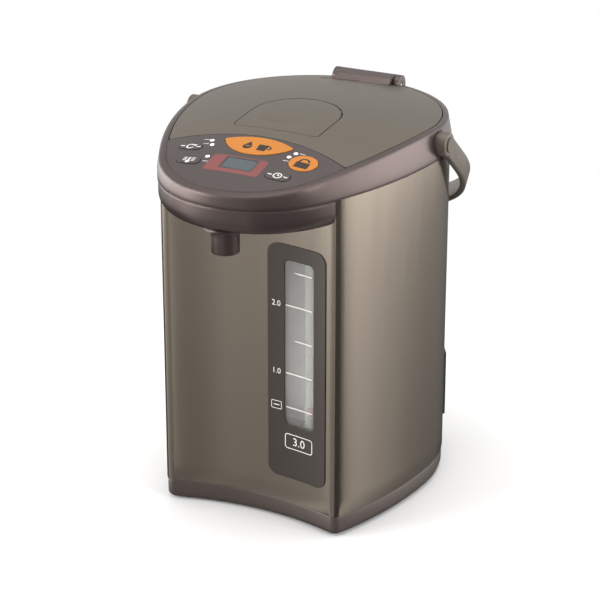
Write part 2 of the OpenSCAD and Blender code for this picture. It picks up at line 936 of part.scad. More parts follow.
module support_plate() {
    legs = [[-78, back_y], [79, back_y + 6], [-41, back_y + 67.5], [30, back_y + 74]];
    color("#8f959a") difference() {
        union() {
            at_vessel() prism(plate_z, plate_z + plate_t) circle(jacket_r, $fn = 128);
            for (a = [30, 150, 270])
                at_vessel() rotate([0, 0, a]) translate([50, -5, plate_z + plate_t - tiny])
                    cube([12, 10, vessel_z - plate_z - plate_t + tiny]);
            for (p = legs)
                translate([p[0], p[1], foot_gap + floor_t])
                    cylinder(plate_z - foot_gap - floor_t + tiny, r = 5);
        }
        translate([pump_x, pump_y, plate_z - 1]) cylinder(plate_t + 2, r = outlet_r + 4);
    }
}

module heat_sensor() {
    color("#b9a27a") translate([-20, back_y, plate_z + plate_t])
        cylinder(vessel_z - plate_z - plate_t, r = 6);
}

// Pump and motor, on one upright axis

module at_pump() translate([pump_x, pump_y, 0]) children();

module suction_sleeve() {
    top = vessel_z - 2.5;
    color("#c9c4bb") at_pump() ring(outlet_r + 2.5, outlet_r + 0.05, top - 14, top);
}

module pump_cover() {
    inlet_z0 = housing_z + housing_h + cover_t;
    color("#e8e4da") at_pump() {
        ring(pump_r, outlet_bore, inlet_z0 - cover_t, inlet_z0);
        ring(outlet_r, outlet_bore, inlet_z0, vessel_z - outlet_l);
    }
}

module pump_housing() {
    color("#e8e4da") difference() {
        union() {
            at_pump() cylinder_at(pump_r, housing_z, housing_h);
            translate([tube_x, pump_y - 8, discharge_z]) rotate([90, 0, 0])
                cylinder(pump_r - 2, r = riser_in - 0.05);
            at_pump() cylinder_at(bracket_r - 1.2, housing_z, 2);
        }
        at_pump() cylinder_at(pump_r - 2, housing_z + 2, housing_h);
        translate([tube_x, pump_y, discharge_z]) rotate([90, 0, 0]) cylinder(big / 4, r = 3);
    }
    color("silver") at_pump() cylinder_at(shaft_r, housing_z + 2 - tiny, housing_h - 3);
}

module cylinder_at(r, z, h) translate([0, 0, z]) cylinder(h, r = r);

module impeller() {
    base_z = housing_z + 7;
    color("#3a5f7a") at_pump() {
        ring(impeller_r, shaft_r + pin_gap, base_z, base_z + 1.5);
        ring(shaft_r + 2, shaft_r + pin_gap, base_z + 1.5 - tiny, base_z + 7);
        for (i = [0:blade_count - 1])
            rotate([0, 0, i * 360 / blade_count]) prism(base_z + 1.5 - tiny, base_z + 7)
                blade_arc();
    }
}

// One curved blade: a slice of a ring through the hub and the rim
module blade_arc() {
    bend = 14;
    intersection() {
        translate([shaft_r + 1, bend]) difference() {
            circle(bend + 0.7);
            circle(bend - 0.7);
        }
        translate([shaft_r + 1, 0]) square([impeller_r, bend]);
        difference() {
            circle(impeller_r - 0.5);
            circle(shaft_r + 1.5);
        }
    }
}

module impeller_magnet() {
    color("#444448") at_pump() ring(magnet_r, shaft_r + pin_gap, housing_z + 2.5, housing_z + 7);
}

module motor_can() {
    color("silver") at_pump() difference() {
        cylinder_at(motor_r, motor_z, motor_h);
        cylinder_at(shaft_r + pin_gap, motor_z + 2, motor_h);
    }
}

module motor_shaft() {
    color("silver") at_pump() cylinder_at(shaft_r, motor_z + 2.5, motor_h - 0.5);
}

module drive_magnet() {
    color("#444448") at_pump()
        ring(magnet_r, shaft_r, motor_z + motor_h + 0.6, housing_z - 0.6);
}

module pump_bracket() {
    web_z = motor_z + 8;
    color("#8f959a") at_pump() {
        ring(bracket_r, bracket_r - 2.5, foot_gap + floor_t, housing_z);
        ring(bracket_r - 2.5 + tiny, motor_r + 0.05, web_z, web_z + 3);
        ring(bracket_r - 2.5 + tiny, motor_r - 3, motor_z - 1.5, motor_z);
        // Posts that hang the pump from the support plate
        for (a = [30, 120, 210])
            rotate([0, 0, a]) translate([bracket_r + 2.2, 0, housing_z - 6])
                cylinder(plate_z - housing_z + 6, r = 3);
    }
}

module power_board() {
    size = [56, 42, board_t];
    at = [-size[0] - 5, back_y - 14, cover_top];
    parts = [[4, 7, 14, 10, 14], [24, 7, 11, 12, 20], [40, 9, 12, 18, 16], [10, 24, 22, 12, 10]];
    color("#2e5e3a") translate(at) {
        translate([0, 0, 5]) cube(size);
        for (p = [[5, 4], [size[0] - 5, 4], [5, size[1] - 4], [size[0] - 5, size[1] - 4]])
            translate([p[0], p[1], 0]) cylinder(5 + tiny, r = 3);
        for (c = parts)
            translate([c[0], c[1], 5 + size[2] - tiny]) cube([c[2], c[3], c[4]]);
    }
}

// Power inlet at the right rear

module at_inlet() translate([0, back_y, 0]) rotate([0, 0, inlet_a]) children();

module inlet_block(w, h, r0, r1) {
    at_vessel() intersection() {
        rotate([0, 0, inlet_a]) translate([back_r - 40, -w / 2, inlet_z - h / 2]) cube([60, w, h]);
        prism(0, seam_z) difference() {
            circle(r1, $fn = 180);
            circle(r0, $fn = 180);
        }
    }
}

module inlet_socket() {
    wall = back_r - shell_inset;
    color("#2b2727") difference() {
        union() {
            inlet_block(inlet_w + 6, inlet_h + 6, wall + 0.02, wall + 2.2);
            inlet_block(inlet_w - 0.4, inlet_h - 0.4, wall - recess_d - 2, wall + 1);
        }
        at_inlet() translate([wall - recess_d, -recess_w / 2, inlet_z - recess_h / 2])
            cube([30, recess_w, recess_h]);
        at_inlet() for (s = [-1, 1])
            translate([wall - recess_d - 4, s * contact_gap / 2, inlet_z]) rotate([0, 90, 0])
                cylinder(contact_l, r = contact_r);
    }
}

module inlet_pins() {
    wall = back_r - shell_inset;
    color("gold") at_inlet() for (s = [-1, 1])
        translate([wall - recess_d - 4, s * contact_gap / 2, inlet_z]) rotate([0, 90, 0])
            cylinder(contact_l, r = contact_r);
}

// Lid

module lid_notch() {
    reach = ear_half + 0.8;
    translate([-reach, hinge_y - barrel_r - 0.8, 0]) cube([2 * reach, 60, big]);
    translate([-barrel_half - 0.3, hinge_front - 0.3, 0]) cube([2 * barrel_half + 0.6, 60, big]);
}

module lever_outline(grow = 0) {
    offset(r = 4 + grow, $fn = 32) offset(delta = -4) union() {
        translate([0, lever_cy]) circle(lever_r, $fn = 96);
        translate([-lever_r, lever_cy - lever_reach]) square([2 * lever_r, lever_reach]);
    }
}

module lid_shell() {
    well_wall = 2.2;
    color("#746c61") difference() {
        union() {
            difference() {
                intersection() {
                    prism(cover_z, crown_top) lid_outline();
                    crown();
                }
                intersection() {
                    prism(cover_z - 1, crown_top) lid_outline(wall_t);
                    crown(wall_t);
                }
            }
            intersection() {
                crown(0.5);
                prism(well_z, crown_top) lever_outline(part_gap + well_wall);
            }
            for (p = lid_screw_points)
                prism_at(p, cover_z + inner_cover_t, crown_at(p[0], p[1]) - 1, 4);
        }
        // Well, with more room behind the lever, whose rear edge swings back as its front lifts
        prism(well_z + 2, crown_top + 1)
            for (s = [0, lever_swing_gap]) translate([0, s]) lever_outline(part_gap);
        lid_notch();
        along_x(-lever_r - 4, lever_r + 4, lever_pin_r + 0.02, lever_axis_y, lever_axis_z);
        // Slot in the well for the ramp of the latch bolt, and one in the front wall for its nose
        translate([-7, lever_axis_y - 2, well_z - 1]) cube([14, 24, crown_top - well_z - 2.3]);
        translate([-bolt_w / 2 - 0.6, -seam_y - 6, bolt_z - 0.6]) cube([bolt_w + 1.2, 12, bolt_t + 1.2]);
        for (i = [0:6])
            translate([-34 + i * 5, hinge_y - 23, crown_top - 30]) rotate([0, 0, -20]) cube([2, 7, 40]);
        for (p = lid_screw_points)
            translate([p[0], p[1], cover_z]) cylinder(12, r = screw_r);
    }
}

module prism_at(p, z0, z1, r) translate([p[0], p[1], z0]) cylinder(z1 - z0, r = r);

module lid_inner_cover() {
    boss_z = seam_z - 3;
    plug_z = vessel_top - 4;
    color("#c7c2b8") difference() {
        union() {
            prism(cover_z, cover_z + inner_cover_t) lid_outline(wall_t + fit_gap);
            at_vessel() difference() {
                prism(boss_z, cover_z + tiny) circle(mouth_r - 2.5, $fn = 128);
                prism(boss_z + 2, cover_z + 1) circle(mouth_r - 4.5, $fn = 128);
            }
            at_vessel() difference() {
                prism(plug_z, cover_z + tiny) circle(plug_r, $fn = 128);
                prism(plug_z + 2, cover_z + 1) circle(plug_r - 2, $fn = 128);
            }
            // Rails beside the latch bolt, and the rib behind its spring
            for (s = [-1, 1])
                translate([s * (bolt_w / 2 + 2.2) - 1.5, -40, cover_z + inner_cover_t - tiny])
                    cube([3, 60, 5]);
            translate([-8, rib_y, cover_z + inner_cover_t - tiny]) cube([16, 3, 12]);
        }
        for (p = lid_screw_points)
            translate([p[0], p[1], cover_z - 1]) cylinder(6, r = screw_r + 0.3);
        at_vessel() for (a = [0:60:300])
            rotate([0, 0, a]) translate([40, 0, plug_z - 1]) cylinder(4, r = 3);
        translate([steam_at[0], steam_at[1], boss_z - 1]) cylinder(40, r = steam_r + 0.1);
        translate([-ear_half - 1, hinge_y - barrel_r - 1.5, 0]) cube([2 * ear_half + 2, 60, big]);
    }
}

module lid_gasket() {
    boss_z = seam_z - 3;
    color("#d9d4cb") at_vessel()
        ring(mouth_r - 1.5, vessel_r - 1.6, vessel_top + 0.3, boss_z);
}

module steam_valve() {
    color("#d8d5cc") translate([steam_at[0], steam_at[1], 0]) {
        ring(steam_r, steam_r - 2, seam_z - 3, crown_at(steam_at[0], steam_at[1]) - wall_t - 5);
        ring(steam_r + 2, steam_r - tiny, cover_z + inner_cover_t, cover_z + inner_cover_t + 1.2);
    }
}

module lid_screws() {
    color("silver") for (p = lid_screw_points) translate([p[0], p[1], cover_z - 1.2]) {
        cylinder(1.2, r = 2.6);
        cylinder(9, r = screw_r);
    }
}

module lid_lever() {
    dish = [22, 11, 1.8];
    color("#786f64") difference() {
        union() {
            difference() {
                intersection() {
                    prism(well_z, crown_top) lever_outline();
                    crown();
                }
                crown(lever_t);
            }
            intersection() {
                along_x(-20, 20, lever_barrel_r, lever_axis_y, lever_axis_z);
                crown(0.3);
            }
            translate([-4, heel_y - 3.5, heel_z]) cube([8, 3.5, lever_t + 1]);
        }
        along_x(-lever_r, lever_r, lever_pin_r + pin_gap, lever_axis_y, lever_axis_z);
        // Shallow dish for a fingertip
        translate([0, -25, crown_at(0, -25)]) dish_cutter(dish);
    }
}

// A lens-shaped body for a dish of half-width size[0], half-length size[1] and depth size[2]
module dish_cutter(size) {
    across_r = (size[1] * size[1] + size[2] * size[2]) / (2 * size[2]);
    along_r = (size[0] * size[0] + size[2] * size[2]) / (2 * size[2]);
    translate([0, 0, across_r - size[2]]) rotate([0, 90, 0]) rotate_extrude($fn = 96) intersection() {
        translate([across_r - along_r, 0]) circle(along_r, $fn = 180);
        translate([0, -2 * size[0]]) square([along_r, 4 * size[0]]);
    }
}

module lever_pin() {
    color("silver") both_sides() along_x(-tiny, 30, lever_pin_r, lever_axis_y, lever_axis_z);
}

// Bolt with its nose in the keeper, and a ramp under the heel of the lever
module latch_bolt() {
    nose_y = -seam_y - 3;
    ramp = [lever_axis_y + 3, bolt_end - 1];
    top = heel_z + 1;
    root = bolt_z + bolt_t - tiny;
    color("#d8d5cc") {
        translate([-bolt_w / 2, nose_y, bolt_z]) cube([bolt_w, bolt_end - nose_y, bolt_t]);
        translate([-4, 0, 0]) rotate([90, 0, 90]) linear_extrude(8)
            polygon([[ramp[0], root], [ramp[1], root], [ramp[1], top],
                [heel_y + ramp_gap + (top - heel_z) / ramp_slope, top],
                [ramp[0], heel_z - ramp_slope * (heel_y + ramp_gap - ramp[0])]]);
    }
}

// Compression spring between the bolt and the rib behind it
module latch_spring() {
    y0 = bolt_end + 0.3;
    y1 = rib_y - 0.3;
    turns = 7;
    coil_r = 3.4;
    wire_r = 0.5;
    steps = 12;
    n = turns * steps;
    sides = 6;
    points = [for (i = [0:n], k = [0:sides - 1])
        let (a = 360 * i / steps, b = 360 * k / sides, r = coil_r + wire_r * cos(b))
        [r * cos(a), y0 + wire_r + (y1 - y0 - 2 * wire_r) * i / n + wire_r * sin(b), r * sin(a)]];
    sides_faces = [for (i = [0:n - 1], k = [0:sides - 1])
        let (a = i * sides + k, b = i * sides + (k + 1) % sides)
        [a, b, b + sides, a + sides]];
    color("silver") translate([0, 0, bolt_z + 4.2])
        polyhedron(points, concat(sides_faces, [[for (k = [sides - 1:-1:0]) k],
            [for (k = [0:sides - 1]) n * sides + k]]), convexity = 8);
}

module hinge_cover() {
    front_z = crown_at(0, hinge_front) - 3;
    color("#4a3f3d") difference() {
        union() {
            along_x(-barrel_half, barrel_half, barrel_r, hinge_y, hinge_z);
            translate([-barrel_half, 0, 0]) rotate([90, 0, 90]) linear_extrude(2 * barrel_half)
                polygon([[hinge_front, cover_z + inner_cover_t], [hinge_y - 3, cover_z + inner_cover_t + 4],
                    [hinge_y, hinge_z], [hinge_y - 1, hinge_z + barrel_r - 0.1],
                    [hinge_y - 10, hinge_z + barrel_r - 0.6], [hinge_front, front_z + 3]]);
        }
        along_x(-barrel_half - 1, barrel_half + 1, hinge_pin_r + pin_gap, hinge_y, hinge_z);
    }
}

module hinge_pin() {
    color("silver") along_x(-ear_half + 0.2, ear_half - 0.2, hinge_pin_r, hinge_y, hinge_z);
}

// Carrying handle

// Section of the handle band, with cut corners
module handle_section() {
    cut = 1.5;
    t = handle_t;
    h = handle_h / 2;
    polygon([[cut, -h], [t - cut, -h], [t, cut - h], [t, h - cut], [t - cut, h], [cut, h],
        [0, h - cut], [0, cut - h]]);
}

module at_pivot() translate([0, pivot_y, pivot_z]) rotate([-rest_a, 0, 0]) children();

module handle() {
    color("#6b6357") at_pivot() difference() {
        union() {
            translate([0, handle_arm, 0]) rotate_extrude(angle = 180, $fn = 128)
                translate([handle_in, 0]) handle_section();
            both_sides() {
                translate([handle_in, handle_arm, 0]) rotate([90, 0, 0])
                    linear_extrude(handle_arm) handle_section();
                translate([hub_in, 0, 0]) rotate([0, 90, 0])
                    cylinder(handle_in + handle_t - hub_in, r = hub_r);
            }
        }
        both_sides() translate([hub_in - 1, 0, 0]) rotate([0, 90, 0]) {
            cylinder(big, r = handle_pin_r + pin_gap);
        }
    }
}

module handle_pins() {
    cap = 1;
    color("#5d564c") at_pivot() both_sides() {
        translate([back_r - rim_w + 0.2, 0, 0]) rotate([0, 90, 0])
            cylinder(handle_in + handle_t + 0.3 - back_r + rim_w - 0.2, r = handle_pin_r);
        translate([handle_in + handle_t + 0.3 - tiny, 0, 0]) rotate([0, 90, 0])
            cylinder(cap, r = handle_pin_r + 2);
    }
}

module placed() translate([0, -frame_shift, 0]) children();

placed() outer_shell();
placed() base_ring();
placed() bottom_cover();
placed() rubber_feet();
placed() bottom_screws();
placed() collar();
placed() beak_cover();
placed() nozzle_tube();
placed() control_panel();
placed() display_window();
placed() display_module();
placed() control_board();
placed() status_lights();
placed() dispense_button();
placed() unlock_button();
placed() reboil_button();
placed() temperature_button();
placed() timer_button();
placed() gauge_frame();
placed() gauge_pane();
placed() gauge_backing();
placed() gauge_tube();
placed() gauge_foot();
placed() float_ball();
placed() valve_body();
placed() valve_ball();
placed() spout_hose();
placed() riser_hose();
placed() inner_container();
placed() container_seal();
placed() strainer();
placed() band_heater();
placed() insulation_jacket();
placed() support_plate();
placed() heat_sensor();
placed() suction_sleeve();
placed() pump_cover();
placed() pump_housing();
placed() impeller();
placed() impeller_magnet();
placed() motor_can();
placed() motor_shaft();
placed() drive_magnet();
placed() pump_bracket();
placed() power_board();
placed() inlet_socket();
placed() inlet_pins();
placed() lid_shell();
placed() lid_inner_cover();
placed() lid_gasket();
placed() steam_valve();
placed() lid_screws();
placed() lid_lever();
placed() lever_pin();
placed() latch_bolt();
placed() latch_spring();
placed() hinge_cover();
placed() hinge_pin();
placed() handle();
placed() handle_pins();
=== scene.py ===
"""Looks of an electric thermo pot: brown metallic case, dark collar with a control panel, crowned
lid, gauge window in the hollow front and a carrying handle. Metres, in the frame of the part."""

import math

import bmesh
import bpy
from mathutils import Matrix, Vector


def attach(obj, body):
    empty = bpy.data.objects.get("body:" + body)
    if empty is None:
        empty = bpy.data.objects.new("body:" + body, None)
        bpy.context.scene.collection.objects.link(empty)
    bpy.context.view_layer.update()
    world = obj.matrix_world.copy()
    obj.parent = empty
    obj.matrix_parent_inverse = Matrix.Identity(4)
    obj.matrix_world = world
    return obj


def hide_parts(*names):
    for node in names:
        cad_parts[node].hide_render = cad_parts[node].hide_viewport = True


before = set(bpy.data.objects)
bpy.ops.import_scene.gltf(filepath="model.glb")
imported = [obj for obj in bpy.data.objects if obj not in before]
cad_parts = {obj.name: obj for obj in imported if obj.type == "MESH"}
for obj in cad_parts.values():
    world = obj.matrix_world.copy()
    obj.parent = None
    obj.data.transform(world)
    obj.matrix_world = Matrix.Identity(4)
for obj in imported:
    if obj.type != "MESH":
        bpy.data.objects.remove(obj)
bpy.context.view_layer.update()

scene = bpy.context.scene
scene.view_settings.view_transform = "Standard"

# ---------------------------------------------------------------------------------------------
# Studio. A long lens above the lid and to the right of the nozzle, a paper floor that fades to
# white, three soft boxes, and a ring of cards and black flags for the gloss of the pot to show.
# ---------------------------------------------------------------------------------------------
mid_y = -0.0055
camera_turn = math.radians(26.3)
camera_dip = 21.28
camera_reach = 1.579
camera_height = 0.824
camera_data = bpy.data.cameras.new("camera")
camera_data.lens = 127.1
camera_data.shift_x = 0.0033
camera_data.shift_y = -0.1
camera_data.clip_start = 0.05
camera = bpy.data.objects.new("camera", camera_data)
camera.location = (
    camera_reach * math.sin(camera_turn),
    mid_y - camera_reach * math.cos(camera_turn),
    camera_height,
)
camera.rotation_euler = (math.radians(90 - camera_dip), 0, camera_turn)
scene.collection.objects.link(camera)
scene.camera = camera


class Wire:
    """One output of a material node. Sums and products written on it add Math nodes."""

    def __init__(self, finish, socket):
        self.finish, self.socket = finish, socket

    def maths(self, operation, *values):
        return self.finish.node("ShaderNodeMath", {"operation": operation}, dict(enumerate(values)))

    def __add__(self, other):
        return self.maths("ADD", self, other)

    def __radd__(self, other):
        return self.maths("ADD", other, self)

    def __sub__(self, other):
        return self.maths("SUBTRACT", self, other)

    def __rsub__(self, other):
        return self.maths("SUBTRACT", other, self)

    def __mul__(self, other):
        return self.maths("MULTIPLY", self, other)

    def __rmul__(self, other):
        return self.maths("MULTIPLY", other, self)


class Finish:
    """A node material under construction. Fixed numbers go on the shader's own sockets."""

    def __init__(self, name, tree=None, **fixed):
        if tree is None:
            self.material = bpy.data.materials.new(name)
            self.material.use_nodes = True
            tree = self.material.node_tree
            self.shader = tree.nodes["Principled BSDF"]
            for socket, value in fixed.items():
                self.shader.inputs[socket.replace("_", " ")].default_value = value
        self.tree = tree

    def node(self, kind, settings, inputs, output=0):
        """One node: its type, its settings, the values or links of its sockets, its output."""
        node = self.tree.nodes.new(kind)
        for name, value in settings.items():
            if name == "stops":
                ramp = node.color_ramp.elements
                while len(ramp) < len(value):
                    ramp.new(0.5)
                for stop, (place, colour) in zip(ramp, value):
                    stop.position, stop.color = place, (*colour, 1)
            else:
                setattr(node, name, value)
        for name, value in inputs.items():
            if isinstance(value, Wire):
                self.tree.links.new(value.socket, node.inputs[name])
            else:
                node.inputs[name].default_value = value
        return Wire(self, node.outputs[output])

    def place(self, scale=(1, 1, 1)):
        """The place on the object, stretched by a scale."""
        where = self.node("ShaderNodeTexCoord", {}, {}, "Object")
        return self.node("ShaderNodeMapping", {}, {"Vector": where, "Scale": scale})

    def along(self, vector, axis):
        return self.node("ShaderNodeSeparateXYZ", {}, {"Vector": vector}, axis)

    def noise(self, scale, detail=3.0, where=None):
        inputs = {"Scale": scale, "Detail": detail, "Vector": where or self.place()}
        return self.node("ShaderNodeTexNoise", {}, inputs, "Fac")

    def blend(self, factor, one, two):
        """A mix of two colours, by a factor."""
        one, two = [v if isinstance(v, Wire) else (*v, 1) for v in (one, two)]
        return self.node("ShaderNodeMix", {"data_type": "RGBA"}, {0: factor, 6: one, 7: two}, 2)

    def ranged(self, value, low, high, to_low=0.0, to_high=1.0, kind="SMOOTHSTEP"):
        """A value's way from low to high, turned into a way between two other values."""
        ends = {"From Min": low, "From Max": high, "To Min": to_low, "To Max": to_high}
        settings = {"interpolation_type": kind}
        return self.node("ShaderNodeMapRange", settings, {"Value": value, **ends})

    def feed(self, socket, value):
        self.tree.links.new(value.socket, self.shader.inputs[socket])

    def relief(self, height, depth, strength=1.0, edge=0.0004):
        """Fine relief, laid over corners that are eased by a small radius."""
        corners = self.node("ShaderNodeBevel", {"samples": 4}, {"Radius": edge}, "Normal")
        inputs = {"Height": height, "Distance": depth, "Strength": strength, "Normal": corners}
        self.feed("Normal", self.node("ShaderNodeBump", {}, inputs))


floor_size, floor_cuts = 12, 8
white_from, white_to = 0.22, 0.55
bpy.ops.mesh.primitive_plane_add(size=floor_size, location=(0, 0, 0))
floor = bpy.context.object
floor.name = "studio_floor"
bpy.ops.object.mode_set(mode="EDIT")
bpy.ops.mesh.subdivide(number_cuts=floor_cuts)
bpy.ops.object.mode_set(mode="OBJECT")
paper = Finish("studio_paper", Roughness=0.9, Specular_IOR_Level=0.1)
fibre = paper.noise(3.0, 2.0)
paper.feed("Base Color", paper.blend(fibre, (0.93, 0.93, 0.93), (0.95, 0.95, 0.95)))
seen_directly = paper.node("ShaderNodeLightPath", {}, {}, "Is Camera Ray")
spot = paper.node("ShaderNodeNewGeometry", {}, {}, "Position")
reach = paper.node("ShaderNodeVectorMath", {"operation": "LENGTH"}, {0: spot}, "Value")
away = paper.ranged(reach, white_from, white_to)
white = paper.node("ShaderNodeEmission", {}, {"Color": (1, 1, 1, 1), "Strength": 1.0})
lit = Wire(paper, paper.shader.outputs[0])
surface = paper.node("ShaderNodeMixShader", {}, {0: away * seen_directly, 1: lit, 2: white})
paper.tree.links.new(surface.socket, paper.tree.nodes["Material Output"].inputs["Surface"])
floor.data.materials.append(paper.material)
floor.visible_glossy = False

world = bpy.data.worlds.new("studio")
scene.world = world
world.use_nodes = True
sky = Finish("studio", world.node_tree)
direction = sky.node("ShaderNodeTexCoord", {}, {}, "Generated")
east, north, height = [sky.along(direction, axis) for axis in "XYZ"]
around = east.maths("ARCTAN2", east, 0 - north) * (1 / (2 * math.pi)) + 0.5


def card_ring(stops):
    """Cards and black flags round the pot. A stop is (degrees from -Y, brightness)."""
    grey = [((turn + 180) / 360, (level, level, level)) for turn, level in stops]
    return sky.node("ShaderNodeValToRGB", {"stops": grey}, {"Fac": around})


# The upright wall mirrors the low ring, the leaning collar the middle one, the lid the open sky.
low_cards = card_ring(
    [(-180, 0.15), (-150, 0.03), (-76, 0.02), (-70, 0.9), (-62, 0.9), (-57, 0.5), (-40, 0.42)]
    + [(-26, 0.4), (-16, 0.44), (-6, 0.28), (4, 0.25), (7, 0.95), (10, 0.95), (12.5, 0.02)]
    + [(104, 0.02), (107.5, 1.0), (112, 0.9), (118, 0.72), (128, 0.52), (136, 0.38)]
    + [(146, 0.28), (160, 0.25), (180, 0.15)]
)
middle_cards = card_ring(
    [(-180, 0.55), (-140, 0.5), (-116, 1.8), (-90, 3.4), (-60, 3.6), (-48, 2.2), (-30, 0.6)]
    + [(-10, 0.4), (20, 0.2), (75, 0.2), (98, 1.2), (108, 2.6), (125, 3.0), (140, 2.2)]
    + [(155, 1.0), (180, 0.55)]
)
rings = sky.blend(sky.ranged(height, -0.328, -0.29), low_cards, middle_cards)
faded = sky.ranged(height, -0.46, -0.32, 0.66, 1.36, "LINEAR")
cards = sky.node("ShaderNodeSeparateColor", {}, {"Color": rings}, 0) * faded
open_sky = sky.ranged(height, -0.1, 0.9, 0.42, 0.85, "LINEAR")
above = sky.ranged(height, 0.12, 0.5)
camera_ray = sky.node("ShaderNodeLightPath", {}, {}, "Is Camera Ray")
brightness = (open_sky * above + cards * (1 - above)) * (1 - camera_ray) + camera_ray
backdrop = sky.tree.nodes["Background"]
backdrop.inputs["Color"].default_value = (1, 1, 1, 1)
sky.tree.links.new(brightness.socket, backdrop.inputs["Strength"])


def soft_box(name, place, aim_height, width, height, power):
    """A rectangular lamp aimed at a height of the pot's axis."""
    lamp = bpy.data.lights.new(name, "AREA")
    lamp.shape, lamp.size, lamp.size_y, lamp.energy = "RECTANGLE", width, height, power
    box = bpy.data.objects.new(name, lamp)
    box.location = place
    aim = Vector((0, 0, aim_height)) - Vector(place)
    box.rotation_euler = aim.to_track_quat("-Z", "Y").to_euler()
    scene.collection.objects.link(box)


soft_box("left_box", (-1.3, -1.35, 0.9), 0.18, 0.9, 1.3, 20)
soft_box("right_box", (1.75, -0.35, 0.75), 0.15, 0.7, 1.2, 11)
soft_box("top_box", (0.1, 0.1, 1.9), 0.2, 1.4, 1.4, 13)

# ---------------------------------------------------------------------------------------------
# Case wall. One sheet of steel with a warm brown metallic lacquer, rolled to the plan of the pot
# and joined behind. Its front is pressed inwards, with openings for gauge, beak and inlet.
# ---------------------------------------------------------------------------------------------
side = (-0.20198, 0.04852, 0.310)
rear = (0.0, 0.034, 0.1075)
hollow = (0.0, -0.3055, 0.229)
rear_turn = math.radians(-4.11)
corner = 0.006


def crossing(one, two):
    """The right-hand point where two circles (x, y, radius) cross."""
    (ax, ay, ar), (bx, by, br) = one, two
    apart = math.hypot(bx - ax, by - ay)
    along = (ar * ar - br * br + apart * apart) / (2 * apart)
    off = math.sqrt(ar * ar - along * along)
    ux, uy = (bx - ax) / apart, (by - ay) / apart
    return max((ax + along * ux + s * off * uy, ay + along * uy - s * off * ux) for s in (1, -1))


def arc(circle, start, end, steps):
    """Points along a circle, without the last one."""
    x, y, r = circle
    turns = [start + (end - start) * i / steps for i in range(steps)]
    return [(x + r * math.cos(t), y + r * math.sin(t)) for t in turns]


def mirrored(half):
    """A right half of a plan, from front middle to rear middle, made whole and set in the frame."""
    whole = half + [(-x, y) for x, y in half[-2:0:-1]]
    return [(x, y + mid_y) for x, y in whole]


def case_plan(inset):
    """Plan of the case: an egg with a hollow front and two rounded upright corners."""
    h = (hollow[0], hollow[1], hollow[2] + inset)
    s, b = [(x, y, r - inset) for x, y, r in (side, rear)]
    cx, cy = crossing((s[0], s[1], s[2] - corner), (h[0], h[1], h[2] + corner))
    on_hollow = math.atan2(cy - h[1], cx - h[0])
    on_side = math.atan2(cy - s[1], cx - s[0])
    half = arc(h, math.pi / 2, on_hollow, 36)
    half += arc((cx, cy, corner), on_hollow - math.pi, on_side, 12)
    half += arc(s, on_side, rear_turn, 30) + arc(b, rear_turn, math.pi / 2, 40)
    return mirrored(half + [(0, b[1] + b[2])])


def only(*pieces):
    """Leaves just these objects selected, the first one active."""
    if bpy.context.object and bpy.context.object.mode != "OBJECT":
        bpy.ops.object.mode_set(mode="OBJECT")
    bpy.ops.object.select_all(action="DESELECT")
    for piece in pieces:
        piece.select_set(True)
    if pieces:
        bpy.context.view_layer.objects.active = pieces[0]


def grown(name, plan, steps, closed=False):
    """A wall grown ring by ring out of a circle. A step is (inset for the plan, height), and a
    closed wall has a face across its first ring and its last one."""
    only()
    first = plan(steps[0][0])
    bpy.ops.mesh.primitive_circle_add(vertices=len(first), radius=0.1, fill_type="NOTHING")
    piece = bpy.context.object
    piece.name = name
    bpy.ops.object.mode_set(mode="EDIT")
    bpy.ops.mesh.select_all(action="SELECT")
    mesh = bmesh.from_edit_mesh(piece.data)
    order = mesh.verts.layers.int.new("order")
    for i, v in enumerate(mesh.verts):
        v[order] = i
    for number, (inset, height) in enumerate(steps):
        if number:
            bpy.ops.mesh.extrude_edges_move()
        mesh = bmesh.from_edit_mesh(piece.data)
        order = mesh.verts.layers.int["order"]
        points = plan(inset)
        for v in mesh.verts:
            if v.select:
                v.co = (*points[v[order]], height)
        bmesh.update_edit_mesh(piece.data)
        if number == 0 and closed:
            bpy.ops.mesh.edge_face_add()
            mesh = bmesh.from_edit_mesh(piece.data)
            for face in mesh.faces:
                face.select_set(False)
            for edge in mesh.edges:
                edge.select_set(True)
            bmesh.update_edit_mesh(piece.data)
    if closed:
        bpy.ops.mesh.edge_face_add()
    bpy.ops.mesh.select_all(action="SELECT")
    bpy.ops.mesh.remove_doubles(threshold=0.00001)
    bpy.ops.mesh.normals_make_consistent(inside=False)
    bpy.ops.object.mode_set(mode="OBJECT")
    return piece


def shaped(piece, kind, **settings):
    """Adds a modifier and applies it."""
    only(piece)
    modifier = piece.modifiers.new(kind.lower(), kind)
    for name, value in settings.items():
        setattr(modifier, name, value)
    bpy.ops.object.modifier_apply(modifier=modifier.name)


def smooth(piece, degrees):
    only(piece)
    bpy.ops.object.shade_smooth_by_angle(angle=math.radians(degrees))


def block(low, high):
    """A cutting block between two corners."""
    only()
    middle = [(a + b) / 2 for a, b in zip(low, high)]
    bpy.ops.mesh.primitive_cube_add(size=1, location=middle)
    cutter = bpy.context.object
    cutter.scale = [b - a for a, b in zip(low, high)]
    bpy.ops.object.transform_apply(location=True, rotation=True, scale=True)
    return cutter


def rounded_block(low, high, radius):
    """A cutting block whose edges along Y are rounded."""
    cutter = block(low, high)
    bpy.ops.object.mode_set(mode="EDIT")
    bpy.context.tool_settings.mesh_select_mode = (False, True, False)
    bpy.ops.mesh.select_all(action="DESELECT")
    mesh = bmesh.from_edit_mesh(cutter.data)
    for edge in mesh.edges:
        along = edge.verts[0].co - edge.verts[1].co
        edge.select_set(abs(along.y) > 0.9 * along.length)
    bmesh.update_edit_mesh(cutter.data)
    bpy.ops.mesh.bevel(offset=radius, segments=8)
    bpy.ops.object.mode_set(mode="OBJECT")
    return cutter


